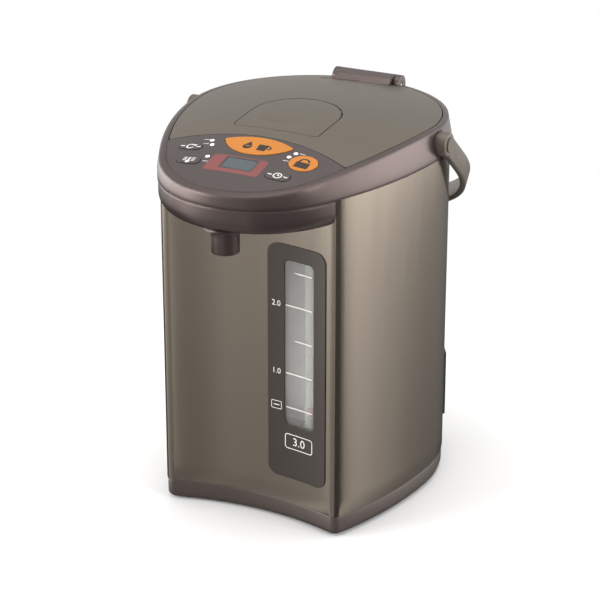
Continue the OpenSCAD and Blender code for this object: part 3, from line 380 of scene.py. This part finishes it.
def cut(piece, *cutters, how="DIFFERENCE"):
    for cutter in cutters:
        shaped(piece, "BOOLEAN", operation=how, object=cutter, solver="EXACT")
        bpy.data.objects.remove(cutter)


def seated(piece, body, slot, finish, *nodes):
    """Gives a finished piece its material, its body and the solids that it stands for."""
    only(piece)
    bpy.ops.object.transform_apply(location=True, rotation=True, scale=True)
    piece.data.materials.clear()
    piece.data.materials.append(finish.material)
    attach(piece, body)
    if nodes:
        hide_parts(*nodes)


def seen(red, green, blue):
    """The light that a colour of 0 to 255 stands for."""
    return tuple(
        c / 12.92 if c <= 0.04045 else ((c + 0.055) / 1.055) ** 2.4
        for c in (red / 255, green / 255, blue / 255)
    )


seam = 0.284
base_top, wall_foot, wall_rings = 0.018, 0.0186, 20
outside, inside = 0.001, 0.0022
wall_levels = [wall_foot + (seam - wall_foot) * i / wall_rings for i in range(wall_rings + 1)]
case_wall = grown(
    "case_wall",
    case_plan,
    [(inside, seam), (inside, base_top + 0.0004), (0.0018, base_top), (0.0013, base_top)]
    + [(outside, z) for z in wall_levels]
    + [(inside, seam)],
)
gauge_x, gauge_z, gauge_w, gauge_h = 0.0385, 0.0395, 0.054, 0.198
gauge_lap, gauge_corner = 0.0007, 0.008
gauge_hole = rounded_block(
    (gauge_x - gauge_w / 2 + gauge_lap, -0.115, gauge_z + gauge_lap),
    (gauge_x + gauge_w / 2 - gauge_lap, -0.045, gauge_z + gauge_h - gauge_lap),
    gauge_corner,
)
beak_hole = block((-0.05, -0.112, 0.265), (0.06, -0.06, 0.29))
inlet_turn = math.radians(40)
inlet_hole = block((0.09, -0.02, 0.042), (0.13, 0.02, 0.092))
inlet_hole.data.transform(
    Matrix.Translation((0, rear[1] + mid_y, 0)) @ Matrix.Rotation(inlet_turn, 4, "Z")
)
cut(case_wall, gauge_hole, beak_hole, inlet_hole)
smooth(case_wall, 30)

lacquer = Finish("brown_metal_lacquer", Metallic=0.94, IOR=1.5)
flakes = lacquer.node(
    "ShaderNodeTexVoronoi", {}, {"Vector": lacquer.place(), "Scale": 4200.0}, "Color"
)
flake_tone = lacquer.node("ShaderNodeSeparateColor", {}, {"Color": flakes}, 0)
cloud = lacquer.noise(9.0, 4.0)
rolled = lacquer.noise(60.0, 1.0, lacquer.place((3, 3, 0.2)))
tone = lacquer.blend(flake_tone, seen(163, 151, 137), seen(170, 158, 144))
lacquer.feed("Base Color", lacquer.blend(cloud * 0.35, tone, seen(160, 148, 134)))
lacquer.feed("Roughness", 0.12 + rolled * 0.05 + cloud * 0.04)
lacquer.relief(rolled, 0.00001, 0.12)
seated(case_wall, "pot", "case_metal", lacquer, "outer_shell")

# ---------------------------------------------------------------------------------------------
# Base moulding. A tray of dark brown polypropylene under the case wall, its lower edge well
# rounded. It carries the bottom cover with its screws, and four rubber feet pressed into pockets.
# ---------------------------------------------------------------------------------------------
base_under, base_rim, base_floor = 0.0015, 0.0225, 0.0045
base_middle = 0.030
base_moulding = grown(
    "base_moulding",
    case_plan,
    [(base_middle, base_under), (0.0062, base_under), (0.0046, 0.0018), (0.0033, 0.0026)]
    + [(0.0023, 0.0039), (0.0017, 0.0056), (0.0016, 0.0075), (0.0016, 0.0166)]
    + [(0.00175, 0.0173), (0.0023, 0.0178), (0.0034, 0.0178), (0.0034, base_rim)]
    + [(0.0048, base_rim), (0.0050, base_floor), (base_middle, base_floor)],
    closed=True,
)
smooth(base_moulding, 40)


def moulded(name, colour, second, roughness, grain=0.4, depth=0.00003, edge=0.0004, **fixed):
    """Moulded plastic: a spark-eroded grain, a faint drift of colour and of gloss."""
    finish = Finish(name, **fixed)
    fine = finish.noise(2600.0, 2.0)
    drift = finish.noise(14.0, 4.0)
    handled = finish.noise(70.0, 3.0)
    finish.feed("Base Color", finish.blend(drift * 0.7 + fine * 0.3, colour, second))
    finish.feed("Roughness", roughness + handled * 0.06 + drift * 0.04)
    finish.relief(fine, depth, grain, edge)
    return finish


base_plastic = moulded("base_plastic", seen(74, 65, 60), seen(84, 75, 69), 0.36, Metallic=0.35)
seated(base_moulding, "pot", "base_plastic", base_plastic, "base_ring")


def dress(finish, *nodes):
    """Gives carried-over solids their finish."""
    for name in nodes:
        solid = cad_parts[name]
        solid.data.materials.clear()
        solid.data.materials.append(finish.material)


under_plastic = moulded("under_plastic", seen(52, 47, 44), seen(60, 54, 50), 0.5)
rubber = moulded("foot_rubber", seen(30, 29, 28), seen(38, 37, 36), 0.75, 0.8, 0.00006)
steel = Finish("drawn_steel", Metallic=0.75)
drawn = steel.noise(20.0, 2.0, steel.place((1, 1, 12)))
steel.feed("Base Color", steel.blend(drawn, seen(196, 196, 197), seen(212, 211, 209)))
steel.feed("Roughness", 0.26 + drawn * 0.12)
steel.relief(drawn, 0.000005, 0.1, 0.0003)
dress(under_plastic, "bottom_cover")
dress(rubber, "rubber_feet")
dress(steel, "bottom_screws")

# ---------------------------------------------------------------------------------------------
# Collar. One moulding in dark brown metallic plastic: the wall above the case, the rim round lid
# and panel, the deck with the mouth, the pivots of the handle and the ears of the hinge.
# ---------------------------------------------------------------------------------------------


def merged_copy(node, name):
    """A merged copy of a solid, whose curved faces are shaded smooth."""
    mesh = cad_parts[node].data.copy()
    piece = bpy.data.objects.new(name, mesh)
    scene.collection.objects.link(piece)
    only(piece)
    bpy.ops.mesh.customdata_custom_splitnormals_clear()
    bpy.ops.object.mode_set(mode="EDIT")
    bpy.ops.mesh.select_all(action="SELECT")
    bpy.ops.mesh.remove_doubles(threshold=0.00002)
    bpy.ops.mesh.dissolve_limited(angle_limit=math.radians(0.05))
    bpy.ops.object.mode_set(mode="OBJECT")
    smooth(piece, 32)
    return piece


collar = merged_copy("collar", "collar_moulding")
collar_plastic = moulded(
    "collar_plastic",
    seen(94, 82, 79),
    seen(101, 89, 86),
    roughness=0.24,
    grain=0.12,
    depth=0.00001,
    edge=0.0035,
    Metallic=0.75,
)
seated(collar, "pot", "collar_plastic", collar_plastic, "collar")

# ---------------------------------------------------------------------------------------------
# Beak. A cap in the same plastic under the front of the collar, with a rounded lower edge and the
# shroud of the nozzle drawn down out of its floor. Screwed up to the deck from inside.
# ---------------------------------------------------------------------------------------------
front = (0.0, -0.0615, 0.080)
front_turn = math.radians(-28.58)
beak_inset, beak_lap, beak_floor, beak_side = 0.0005, 0.0003, 0.263, 0.279


def beak_plan(inset):
    """The part of the egg that stands in front of the hollow."""
    f, s = [(x, y, r - inset) for x, y, r in (front, side)]
    h = (hollow[0], hollow[1], hollow[2] - beak_lap)
    cx, cy = crossing(s, h)
    tip_on_side = math.atan2(cy - s[1], cx - s[0])
    tip_on_hollow = math.atan2(cy - h[1], cx - h[0])
    half = arc(f, -math.pi / 2, front_turn, 30) + arc(s, front_turn, tip_on_side, 14)
    return mirrored(half + arc(h, tip_on_hollow, math.pi / 2, 40) + [(0, h[1] + h[2])])


round_w, round_h = 0.0085, 0.0105
edge_turns = [math.radians(a) for a in (0, 12, 24, 36, 48, 60, 72, 82, 90)]
beak_edge = [
    (beak_inset + round_w * (1 - math.cos(t)), beak_floor + round_h * (1 - math.sin(t)))
    for t in edge_turns
]
beak = grown(
    "beak_cap",
    beak_plan,
    [(beak_inset, seam - 0.0002), (beak_inset, beak_side)] + beak_edge,
    closed=True,
)
smooth(beak, 42)
seated(beak, "pot", "collar_plastic", collar_plastic, "beak_cover")

nozzle_y = -0.122 + mid_y
nozzle_parts = 96
bore, bore_top = 0.0082, 0.2634


def nozzle_ring(radius):
    """A circle round the axis of the nozzle."""
    turns = [2 * math.pi * i / nozzle_parts for i in range(nozzle_parts)]
    return [(radius * math.cos(t), nozzle_y + radius * math.sin(t)) for t in turns]


shroud = grown(
    "nozzle_shroud",
    nozzle_ring,
    [(bore, 0.2632), (bore, 0.2436), (0.0086, 0.2428), (0.0094, 0.2425), (0.0101, 0.2425)]
    + [(0.0106, 0.2428), (0.01085, 0.2434), (0.01085, 0.2555), (0.0111, 0.2583)]
    + [(0.0118, 0.2604), (0.0130, 0.2619), (0.0152, 0.2630), (0.0180, bore_top)]
    + [(bore, bore_top), (bore, 0.2632)],
)
smooth(shroud, 50)
seated(shroud, "pot", "collar_plastic", collar_plastic)
outlet_plastic = moulded("outlet_plastic", seen(38, 34, 33), seen(46, 41, 40), 0.4)
dress(outlet_plastic, "nozzle_tube")

# ---------------------------------------------------------------------------------------------
# Control panel. A crowned insert in satin brown plastic that drops into the front of the collar,
# with the openings of five keys, a display and five small lights. Its circuit board hangs below.
# ---------------------------------------------------------------------------------------------
panel = merged_copy("control_panel", "panel_moulding")
panel_plastic = moulded(
    "panel_plastic", seen(76, 67, 66), seen(83, 74, 72), 0.33, 0.3, 0.00002, 0.0003, Metallic=0.35
)
seated(panel, "pot", "panel_plastic", panel_plastic, "control_panel")
board = moulded("board_laminate", seen(38, 84, 52), seen(46, 96, 60), 0.4, 0.3)
dress(board, "control_board", "power_board")
glass_dark = Finish(
    "display_glass", Roughness=0.12, IOR=1.5, Coat_Weight=0.6, Coat_Roughness=0.06
)
bars = glass_dark.noise(220.0, 1.0)
glass_dark.feed("Base Color", glass_dark.blend(bars, seen(58, 66, 74), seen(70, 79, 86)))
dress(glass_dark, "display_window", "display_module")
lens = Finish("light_lens", Roughness=0.3, Emission_Strength=0.8)
lens.feed("Emission Color", lens.blend(lens.noise(900.0), (1, 1, 1), (0.9, 0.93, 0.95)))
lens.feed("Base Color", lens.blend(lens.noise(900.0), (0.9, 0.9, 0.9), (0.8, 0.82, 0.84)))
dress(lens, "status_lights")

# ---------------------------------------------------------------------------------------------
# Keys. Crowned caps that stand half a millimetre proud and travel as much on the switches of the
# board: an orange leaf to dispense, a round orange one to unlock, and three brown pills.
# ---------------------------------------------------------------------------------------------
orange = moulded(
    "orange_key_plastic", seen(190, 114, 22), seen(196, 121, 28), 0.36, 0.15, 0.00001
)
keys = [
    ("dispense_button", "dispense_leaf", "dispense_key", "orange_key", orange),
    ("unlock_button", "unlock_cap", "unlock_key", "orange_key", orange),
    ("reboil_button", "reboil_cap", "reboil_key", "grey_key", panel_plastic),
    ("temperature_button", "temperature_cap", "temperature_key", "grey_key", panel_plastic),
    ("timer_button", "timer_cap", "timer_key", "grey_key", panel_plastic),
]
for node, name, body, slot, finish in keys:
    seated(merged_copy(node, name), body, slot, finish, node)

# ---------------------------------------------------------------------------------------------
# Printing. Pictograms on the keys, ticks beside the lights and the red border of the display:
# one pass of pad-printed ink, a few hundredths of a millimetre thick.
# ---------------------------------------------------------------------------------------------
crown_radius, crown_top, crown_y = 0.570, 0.3175, 0.022 + mid_y
key_proud, film = 0.0005, 0.00004
upwards = Vector((0, 0, 1))


def crowned(proud):
    """A rule that lays a place in the plan on the crowned top, or a little above it."""
    r = crown_radius + proud

    def lay(x, y):
        return (x, y, crown_top - crown_radius + math.sqrt(r * r - x * x - (y - crown_y) ** 2))

    return lay


def ink(name, colour, second):
    finish = Finish(name, Roughness=0.45)
    finish.feed("Base Color", finish.blend(finish.noise(1800.0), colour, second))
    finish.relief(finish.noise(3000.0), 0.000005, 0.2, 0.0001)
    return finish


white_ink = ink("white_ink", seen(214, 210, 204), seen(224, 220, 214))
dark_ink = ink("dark_ink", seen(34, 20, 12), seen(42, 26, 16))
red_ink = ink("red_ink", seen(120, 62, 61), seen(128, 68, 66))


def printed(name, body, slot, finish, strokes, lay, outwards):
    """Flat strokes of ink. A stroke is a list of corners, which a rule lays on the part."""
    mesh = bpy.data.meshes.new(name)
    form = bmesh.new()
    for stroke in strokes:
        face = form.faces.new([form.verts.new(lay(*point)) for point in stroke])
        face.normal_update()
        if face.normal.dot(outwards) < 0:
            face.normal_flip()
    form.to_mesh(mesh)
    form.free()
    piece = bpy.data.objects.new(name, mesh)
    scene.collection.objects.link(piece)
    seated(piece, body, slot, finish)


def bar(x, y, width, height, turn=0.0, parts=1):
    """A straight stroke as one or more plan rectangles."""
    c, s = math.cos(turn), math.sin(turn)
    strokes = []
    for i in range(parts):
        a = -width / 2 + width * i / parts
        b = -width / 2 + width * (i + 1) / parts
        corners = [(a, -height / 2), (b, -height / 2), (b, height / 2), (a, height / 2)]
        strokes.append([(x + px * c - py * s, y + px * s + py * c) for px, py in corners])
    return strokes


def bow(x, y, radius, width, start, end, parts=14):
    """A curved stroke, from one angle to another."""
    strokes = []
    for i in range(parts):
        a = math.radians(start + (end - start) * i / parts)
        b = math.radians(start + (end - start) * (i + 1) / parts)
        ring = [(radius, a), (radius, b), (radius + width, b), (radius + width, a)]
        strokes.append([(x + r * math.cos(t), y + r * math.sin(t)) for r, t in ring])
    return strokes


def shifted(x, y, *corners):
    """One stroke whose corners are given from a middle point."""
    return [[(x + u, y + v) for u, v in corners]]


# A drop that falls beside a cup.
drop_x, mark_y = -0.0062, -0.0722 + mid_y
drop = bow(drop_x, mark_y - 0.0016, 0.0, 0.0037, 160, 380, 16)
drop += shifted(drop_x, mark_y, (-0.0035, -0.0004), (0.0035, -0.0004), (0.0, 0.0062))
cup = shifted(
    0, mark_y, (0.0028, -0.0054), (0.0096, -0.0054), (0.0108, 0.0036), (0.0016, 0.0036)
)
cup += bow(0.0106, mark_y - 0.0004, 0.0016, 0.0014, -80, 80, 10)

# A padlock with its shackle open at the right.
lock_x, lock_y = 0.045, -0.0825 + mid_y
lock = bar(lock_x, lock_y - 0.0028, 0.0112, 0.0078)
lock += bow(lock_x, lock_y + 0.0022, 0.0028, 0.0016, 0, 180)
lock += bar(lock_x - 0.0036, lock_y + 0.0016, 0.0016, 0.0013)

# An arrow that turns back on itself.
again_x, again_y = -0.050, -0.083 + mid_y
again = bow(again_x, again_y, 0.0023, 0.0012, 40, 340, 18)
again += shifted(again_x, again_y, (0.0010, 0.0026), (0.0044, 0.0036), (0.0038, 0.0002))
for x in (-0.0066, 0.0068):
    again += bar(again_x + x, again_y, 0.0038, 0.0012)

# A thermometer between warm lines.
warm_x, warm_y = -0.041, -0.103 + mid_y
warm = bow(warm_x, warm_y - 0.0020, 0.0, 0.0018, 0, 360, 16)
warm += bar(warm_x, warm_y + 0.0010, 0.0015, 0.0056)
for y in (-0.0004, 0.0014, 0.0032):
    for x in (0.0034, -0.0034):
        warm += bar(warm_x + x, warm_y + y, 0.0030, 0.0009)

# A clock with two hands.
clock_x, clock_y = 0.035, -0.105 + mid_y
clock = bow(clock_x, clock_y, 0.0026, 0.0010, 0, 360, 24)
clock += bar(clock_x, clock_y + 0.0010, 0.0009, 0.0022)
clock += bar(clock_x + 0.0008, clock_y, 0.0018, 0.0009)
for x in (-0.0064, 0.0064):
    clock += bar(clock_x + x, clock_y, 0.0034, 0.0012)

for name, body, slot, finish, strokes in (
    ("dispense_print", "dispense_key", "orange_key", dark_ink, drop + cup),
    ("unlock_print", "unlock_key", "orange_key", dark_ink, lock),
    ("reboil_print", "reboil_key", "grey_key", white_ink, again),
    ("temperature_print", "temperature_key", "grey_key", white_ink, warm),
    ("timer_print", "timer_key", "grey_key", white_ink, clock),
):
    printed(name, body, slot, finish, strokes, crowned(key_proud + film), upwards)

ticks = []
for x, y, turn in (
    (-0.0430, -0.0700, 0.2),
    (-0.0400, -0.0765, 0.2),
    (-0.0275, -0.1015, 0.0),
    (0.0310, -0.0835, 0.0),
    (0.0385, -0.0700, 0.0),
):
    ticks += bar(x, y + mid_y, 0.0046, 0.0007, turn)
printed("light_ticks", "pot", "light_white", white_ink, ticks, crowned(film), upwards)


def field(x0, x1, y0, y1, across, deep):
    """A rectangular field of ink, in cells that follow the crown."""
    xs = [x0 + (x1 - x0) * i / across for i in range(across + 1)]
    ys = [y0 + (y1 - y0) * k / deep for k in range(deep + 1)]
    return [
        [(a, c), (b, c), (b, d), (a, d)] for a, b in zip(xs, xs[1:]) for c, d in zip(ys, ys[1:])
    ]


border_x, border_y, border_w, border_h = -0.002, -0.1008 + mid_y, 0.046, 0.0225
glass_x, glass_y, glass_w, glass_h = 0.0, -0.099 + mid_y, 0.0256, 0.0146
glass_gap, round_off = 0.001, 0.003
left, right = border_x - border_w / 2, border_x + border_w / 2
near, far = border_y - border_h / 2, border_y + border_h / 2
inner_left, inner_right = glass_x - glass_w / 2 - glass_gap, glass_x + glass_w / 2 + glass_gap
inner_near, inner_far = glass_y - glass_h / 2 - glass_gap, glass_y + glass_h / 2 + glass_gap
straight_near, straight_far = near + round_off, far - round_off
border = []
for outer, inner, middle, near_turn, far_turn in (
    (left, inner_left, left + round_off, 180, 90),
    (right, inner_right, right - round_off, 270, 0),
):
    border += field(outer, inner, straight_near, straight_far, 6, 10)
    border += field(middle, inner, near, straight_near, 5, 2)
    border += field(middle, inner, straight_far, far, 5, 2)
    border += bow(middle, straight_near, 0.0, round_off, near_turn, near_turn + 90, 6)
    border += bow(middle, straight_far, 0.0, round_off, far_turn, far_turn + 90, 6)
border += field(inner_left, inner_right, near, inner_near, 14, 3)
border += field(inner_left, inner_right, inner_far, far, 14, 2)
printed("display_border", "pot", "display_glass", red_ink, border, crowned(film), upwards)

# ---------------------------------------------------------------------------------------------
# Gauge. A dark frame clipped into the hollow front, a clear pane from behind, a glass tube with a
# red float ball, and white filling marks printed on the pane.
# ---------------------------------------------------------------------------------------------
gauge_frame = merged_copy("gauge_frame", "gauge_frame_moulding")
gauge_plastic = moulded(
    "gauge_plastic", seen(68, 61, 57), seen(74, 67, 62), 0.26, 0.15, 0.00001, 0.001, Metallic=0.5
)
seated(gauge_frame, "pot", "gauge_plastic", gauge_plastic, "gauge_frame")

clear = Finish("clear_pane", IOR=1.49, Alpha=0.12)
clear.feed("Base Color", clear.blend(clear.noise(30.0), seen(206, 205, 202), seen(214, 213, 210)))
clear.feed("Roughness", 0.06 + clear.noise(90.0) * 0.05)
dress(clear, "gauge_pane")
tube_glass = Finish("tube_glass", IOR=1.5, Alpha=0.22)
# Painted light: the glass is painted dark down the tube's left edge as shade, and pale over the
# rest as a painted highlight.
across = tube_glass.along(tube_glass.place(), "X")
painted_edge_shade_and_highlight = tube_glass.ranged(across, 0.0410, 0.0428, kind="LINEAR")
tube_glass.feed(
    "Base Color", tube_glass.blend(painted_edge_shade_and_highlight, seen(66, 63, 60), seen(232, 229, 224))
)
tube_glass.feed("Roughness", 0.05 + tube_glass.noise(90.0) * 0.04)
dress(tube_glass, "gauge_tube")
grey_back = Finish("gauge_backing_plastic", Roughness=0.5)
# Painted shade: the backing is painted darker up towards its top and pale at its foot.
up_the_back = grey_back.along(grey_back.place(), "Z")
painted_shade_to_top = grey_back.ranged(up_the_back, 0.09, 0.225, kind="LINEAR")
clouded = grey_back.noise(40.0, 2.0)
grey_back.feed(
    "Base Color",
    grey_back.blend(painted_shade_to_top * 0.9 + clouded * 0.1, seen(234, 231, 226), seen(178, 175, 172)),
)
grey_back.relief(clouded, 0.00001, 0.1)
dress(grey_back, "gauge_backing")
float_red = moulded("float_red", seen(196, 40, 38), seen(206, 52, 46), 0.25, 0.1)
dress(float_red, "float_ball")

forwards = Vector((0, -1, 0))


def hollowed(behind):
    """A rule that lays (x, height) on the hollow front, or a little behind it."""
    r = hollow[2] + behind

    def lay(x, z):
        return (x, hollow[1] + mid_y + math.sqrt(r * r - x * x), z)

    return lay


frame_face, pane_face = hollowed(0.0003), hollowed(0.0009)
long_mark, short_mark, mark_end, mark_line = 0.028, 0.036, 0.052, 0.0009
two_litres, one_litre = 0.1874, 0.1302
marks = []
for z, start in (
    (0.2154, short_mark),
    (two_litres, long_mark),
    (0.1588, short_mark),
    (one_litre, long_mark),
    (0.1010, long_mark),
):
    marks += bar((start + mark_end) / 2, z, mark_end - start, mark_line, parts=6)
printed("filling_marks", "pot", "gauge_white", white_ink, marks, pane_face, forwards)


def numerals(name, text, x, z, size):
    """Plain numbers printed on the frame: text made a mesh, then laid on the hollow front."""
    only()
    bpy.ops.object.text_add()
    label = bpy.context.object
    label.name = name
    label.data.body = text
    label.data.size = size
    label.data.align_x, label.data.align_y = "CENTER", "CENTER"
    label.data.resolution_u = 4
    bpy.ops.object.convert(target="MESH")
    label = bpy.context.object
    bpy.ops.object.mode_set(mode="EDIT")
    bpy.ops.mesh.select_all(action="SELECT")
    bpy.ops.mesh.quads_convert_to_tris()
    bpy.ops.object.mode_set(mode="OBJECT")
    for v in label.data.vertices:
        v.co = frame_face(x + v.co.x, z + v.co.y)
    seated(label, "pot", "gauge_white", white_ink)


litre_x, litre_size = 0.0193, 0.0066
numerals("mark_two", "2.0", litre_x, two_litres, litre_size)
numerals("mark_one", "1.0", litre_x, one_litre, litre_size)
numerals("capacity", "3.0", 0.0400, 0.0720, 0.0098)


def outline_box(x0, x1, z0, z1, radius, width, parts=5):
    """A thin rounded box as strokes."""
    strokes = []
    for cx, cz, start in (
        (x1 - radius, z1 - radius, 0),
        (x0 + radius, z1 - radius, 90),
        (x0 + radius, z0 + radius, 180),
        (x1 - radius, z0 + radius, 270),
    ):
        strokes += bow(cx, cz, radius - width, width, start, start + 90, parts)
    for z in (z0 + width / 2, z1 - width / 2):
        strokes += bar((x0 + x1) / 2, z, x1 - x0 - 2 * radius, width, parts=8)
    for x in (x0 + width / 2, x1 - width / 2):
        strokes += bar(x, (z0 + z1) / 2, width, z1 - z0 - 2 * radius)
    return strokes


capacity_box = outline_box(0.027, 0.053, 0.0655, 0.0785, 0.0025, 0.0007)
low_sign = outline_box(0.0145, 0.0240, 0.0975, 0.1045, 0.0012, 0.0005)
low_sign += bar(0.01925, 0.1010, 0.0052, 0.0008)
for name, strokes in (("capacity_box", capacity_box), ("low_sign", low_sign)):
    printed(name, "pot", "gauge_white", white_ink, strokes, frame_face, forwards)

# ---------------------------------------------------------------------------------------------
# Lid. A crowned shell in satin brown plastic, hollow underneath, with a pale inner cover, a
# silicone gasket and a steam valve. Slots beside the hinge let the steam out.
# ---------------------------------------------------------------------------------------------
lid = merged_copy("lid_shell", "lid_crown")
lid_plastic = moulded(
    "lid_plastic", seen(100, 93, 82), seen(105, 98, 87), 0.36, 0.2, 0.00001, 0.0006, Metallic=0.4
)
seated(lid, "lid", "lid_metal", lid_plastic, "lid_shell")
lever = merged_copy("lid_lever", "lever_plate")
seated(lever, "lever", "lid_metal", lid_plastic, "lid_lever")
pale_plastic = moulded("pale_plastic", seen(205, 200, 190), seen(214, 209, 200), 0.42)
dress(pale_plastic, "lid_inner_cover", "latch_bolt", "steam_valve")
dress(pale_plastic, "valve_body", "pump_cover", "pump_housing")
silicone = moulded(
    "silicone", seen(214, 208, 196), seen(222, 217, 206), 0.6, Subsurface_Weight=0.1
)
dress(silicone, "lid_gasket", "container_seal", "spout_hose", "riser_hose", "suction_sleeve")
dress(steel, "lid_screws", "lever_pin", "latch_spring", "hinge_pin")
dress(steel, "valve_ball", "motor_can", "motor_shaft")
hinge = merged_copy("hinge_cover", "hinge_block")
seated(hinge, "lid", "collar_plastic", collar_plastic, "hinge_cover")

# ---------------------------------------------------------------------------------------------
# Water container and the works under it. Deep-drawn steel pot with a strainer over its outlet,
# band heater, glass-wool jacket, support plate, pump with its magnet coupling, boards and hoses.
# ---------------------------------------------------------------------------------------------
dress(steel, "inner_container", "strainer", "support_plate", "pump_bracket")
wool = moulded("wool_jacket", seen(214, 206, 190), seen(228, 222, 208), 0.95, 1.0, 0.0006)
dress(wool, "insulation_jacket")


def sheet_metal(name, roughness, grain_scale, colour, second, depth):
    """Bare metal with the fine grain of a rolled sheet."""
    finish = Finish(name, Metallic=1.0, Roughness=roughness)
    grain = finish.noise(grain_scale)
    finish.feed("Base Color", finish.blend(grain, colour, second))
    finish.relief(grain, depth, 0.3)
    return finish


copper = sheet_metal(
    "heater_sheath", 0.35, 300.0, seen(176, 138, 88), seen(188, 150, 98), 0.00002
)
dress(copper, "band_heater", "heat_sensor")
blue_plastic = moulded("impeller_plastic", seen(58, 95, 122), seen(66, 104, 132), 0.4)
dress(blue_plastic, "impeller")
ferrite = moulded("ferrite", seen(62, 62, 66), seen(74, 74, 78), 0.6)
dress(ferrite, "impeller_magnet", "drive_magnet")
dress(outlet_plastic, "gauge_foot")

# ---------------------------------------------------------------------------------------------
# Power inlet. A black flanged socket at the right rear with two brass contacts in a recess.
# ---------------------------------------------------------------------------------------------
inlet = merged_copy("inlet_socket", "inlet_flange")
inlet_plastic = moulded("inlet_plastic", seen(44, 40, 39), seen(52, 48, 46), 0.4)
seated(inlet, "pot", "dark_plastic", inlet_plastic, "inlet_socket")
brass = sheet_metal(
    "contact_brass", 0.3, 400.0, seen(200, 168, 92), seen(212, 180, 104), 0.00001
)
dress(brass, "inlet_pins")

# ---------------------------------------------------------------------------------------------
# Carrying handle. A bow of brown plastic that hangs on two pins in the collar, its band rounded
# along all four edges, with a round hub on each end that a pin goes through.
# ---------------------------------------------------------------------------------------------
pivot = (0.0, rear[1] + mid_y, 0.296)
rest_turn = -math.radians(39.365)
band_t, band_h, band_edge = 0.005, 0.017, 0.0018
arm, bow_radius, bow_steps = 0.036, 0.1095, 72
hub_radius, hub_in, hub_edge = 0.0095, 0.1045, 0.0011
hub_out = bow_radius + band_t
only()
bpy.ops.mesh.primitive_plane_add(size=1)
handle = bpy.context.object
handle.name = "carrying_handle"
bpy.ops.object.mode_set(mode="EDIT")
bpy.ops.mesh.select_all(action="SELECT")
bpy.ops.mesh.delete(type="ONLY_FACE")
mesh = bmesh.from_edit_mesh(handle.data)
for v in mesh.verts:
    v.co = (bow_radius + (v.co.x + 0.5) * band_t, 0.0, v.co.y * band_h)
bmesh.update_edit_mesh(handle.data)
bpy.ops.mesh.select_all(action="SELECT")
bpy.ops.mesh.bevel(offset=band_edge, segments=5, affect="VERTICES")
bpy.ops.mesh.select_all(action="SELECT")
bpy.ops.mesh.extrude_edges_move(TRANSFORM_OT_translate={"value": (0, arm, 0)})
bpy.ops.mesh.spin(steps=bow_steps, angle=-math.pi, center=(0, arm, 0), axis=(0, 0, 1))
bpy.ops.mesh.extrude_edges_move(TRANSFORM_OT_translate={"value": (0, -arm, 0)})
bpy.ops.mesh.select_all(action="SELECT")
bpy.ops.mesh.remove_doubles(threshold=0.000005)
bpy.ops.mesh.select_all(action="DESELECT")
bpy.ops.mesh.select_mode(type="EDGE")
bpy.ops.mesh.select_non_manifold()
bpy.ops.mesh.edge_face_add()
bpy.ops.mesh.select_all(action="SELECT")
bpy.ops.mesh.normals_make_consistent(inside=False)
bpy.ops.object.mode_set(mode="OBJECT")
for s in (-1, 1):
    only()
    bpy.ops.mesh.primitive_cylinder_add(
        vertices=64,
        radius=hub_radius,
        depth=hub_out - hub_in,
        location=(s * (hub_out + hub_in) / 2, 0, 0),
        rotation=(0, math.pi / 2, 0),
    )
    hub = bpy.context.object
    bpy.ops.object.transform_apply(location=True, rotation=True, scale=True)
    corners = {"limit_method": "ANGLE", "angle_limit": math.radians(60)}
    shaped(hub, "BEVEL", width=hub_edge, segments=3, **corners)
    cut(handle, hub, how="UNION")
handle.data.transform(Matrix.Translation(pivot) @ Matrix.Rotation(rest_turn, 4, "X"))
smooth(handle, 35)
handle_plastic = moulded(
    "handle_plastic",
    seen(98, 90, 81),
    seen(106, 98, 88),
    roughness=0.38,
    grain=0.35,
    edge=0.0003,
    Metallic=0.35,
)
seated(handle, "bail", "handle_plastic", handle_plastic, "handle")
dress(handle_plastic, "handle_pins")
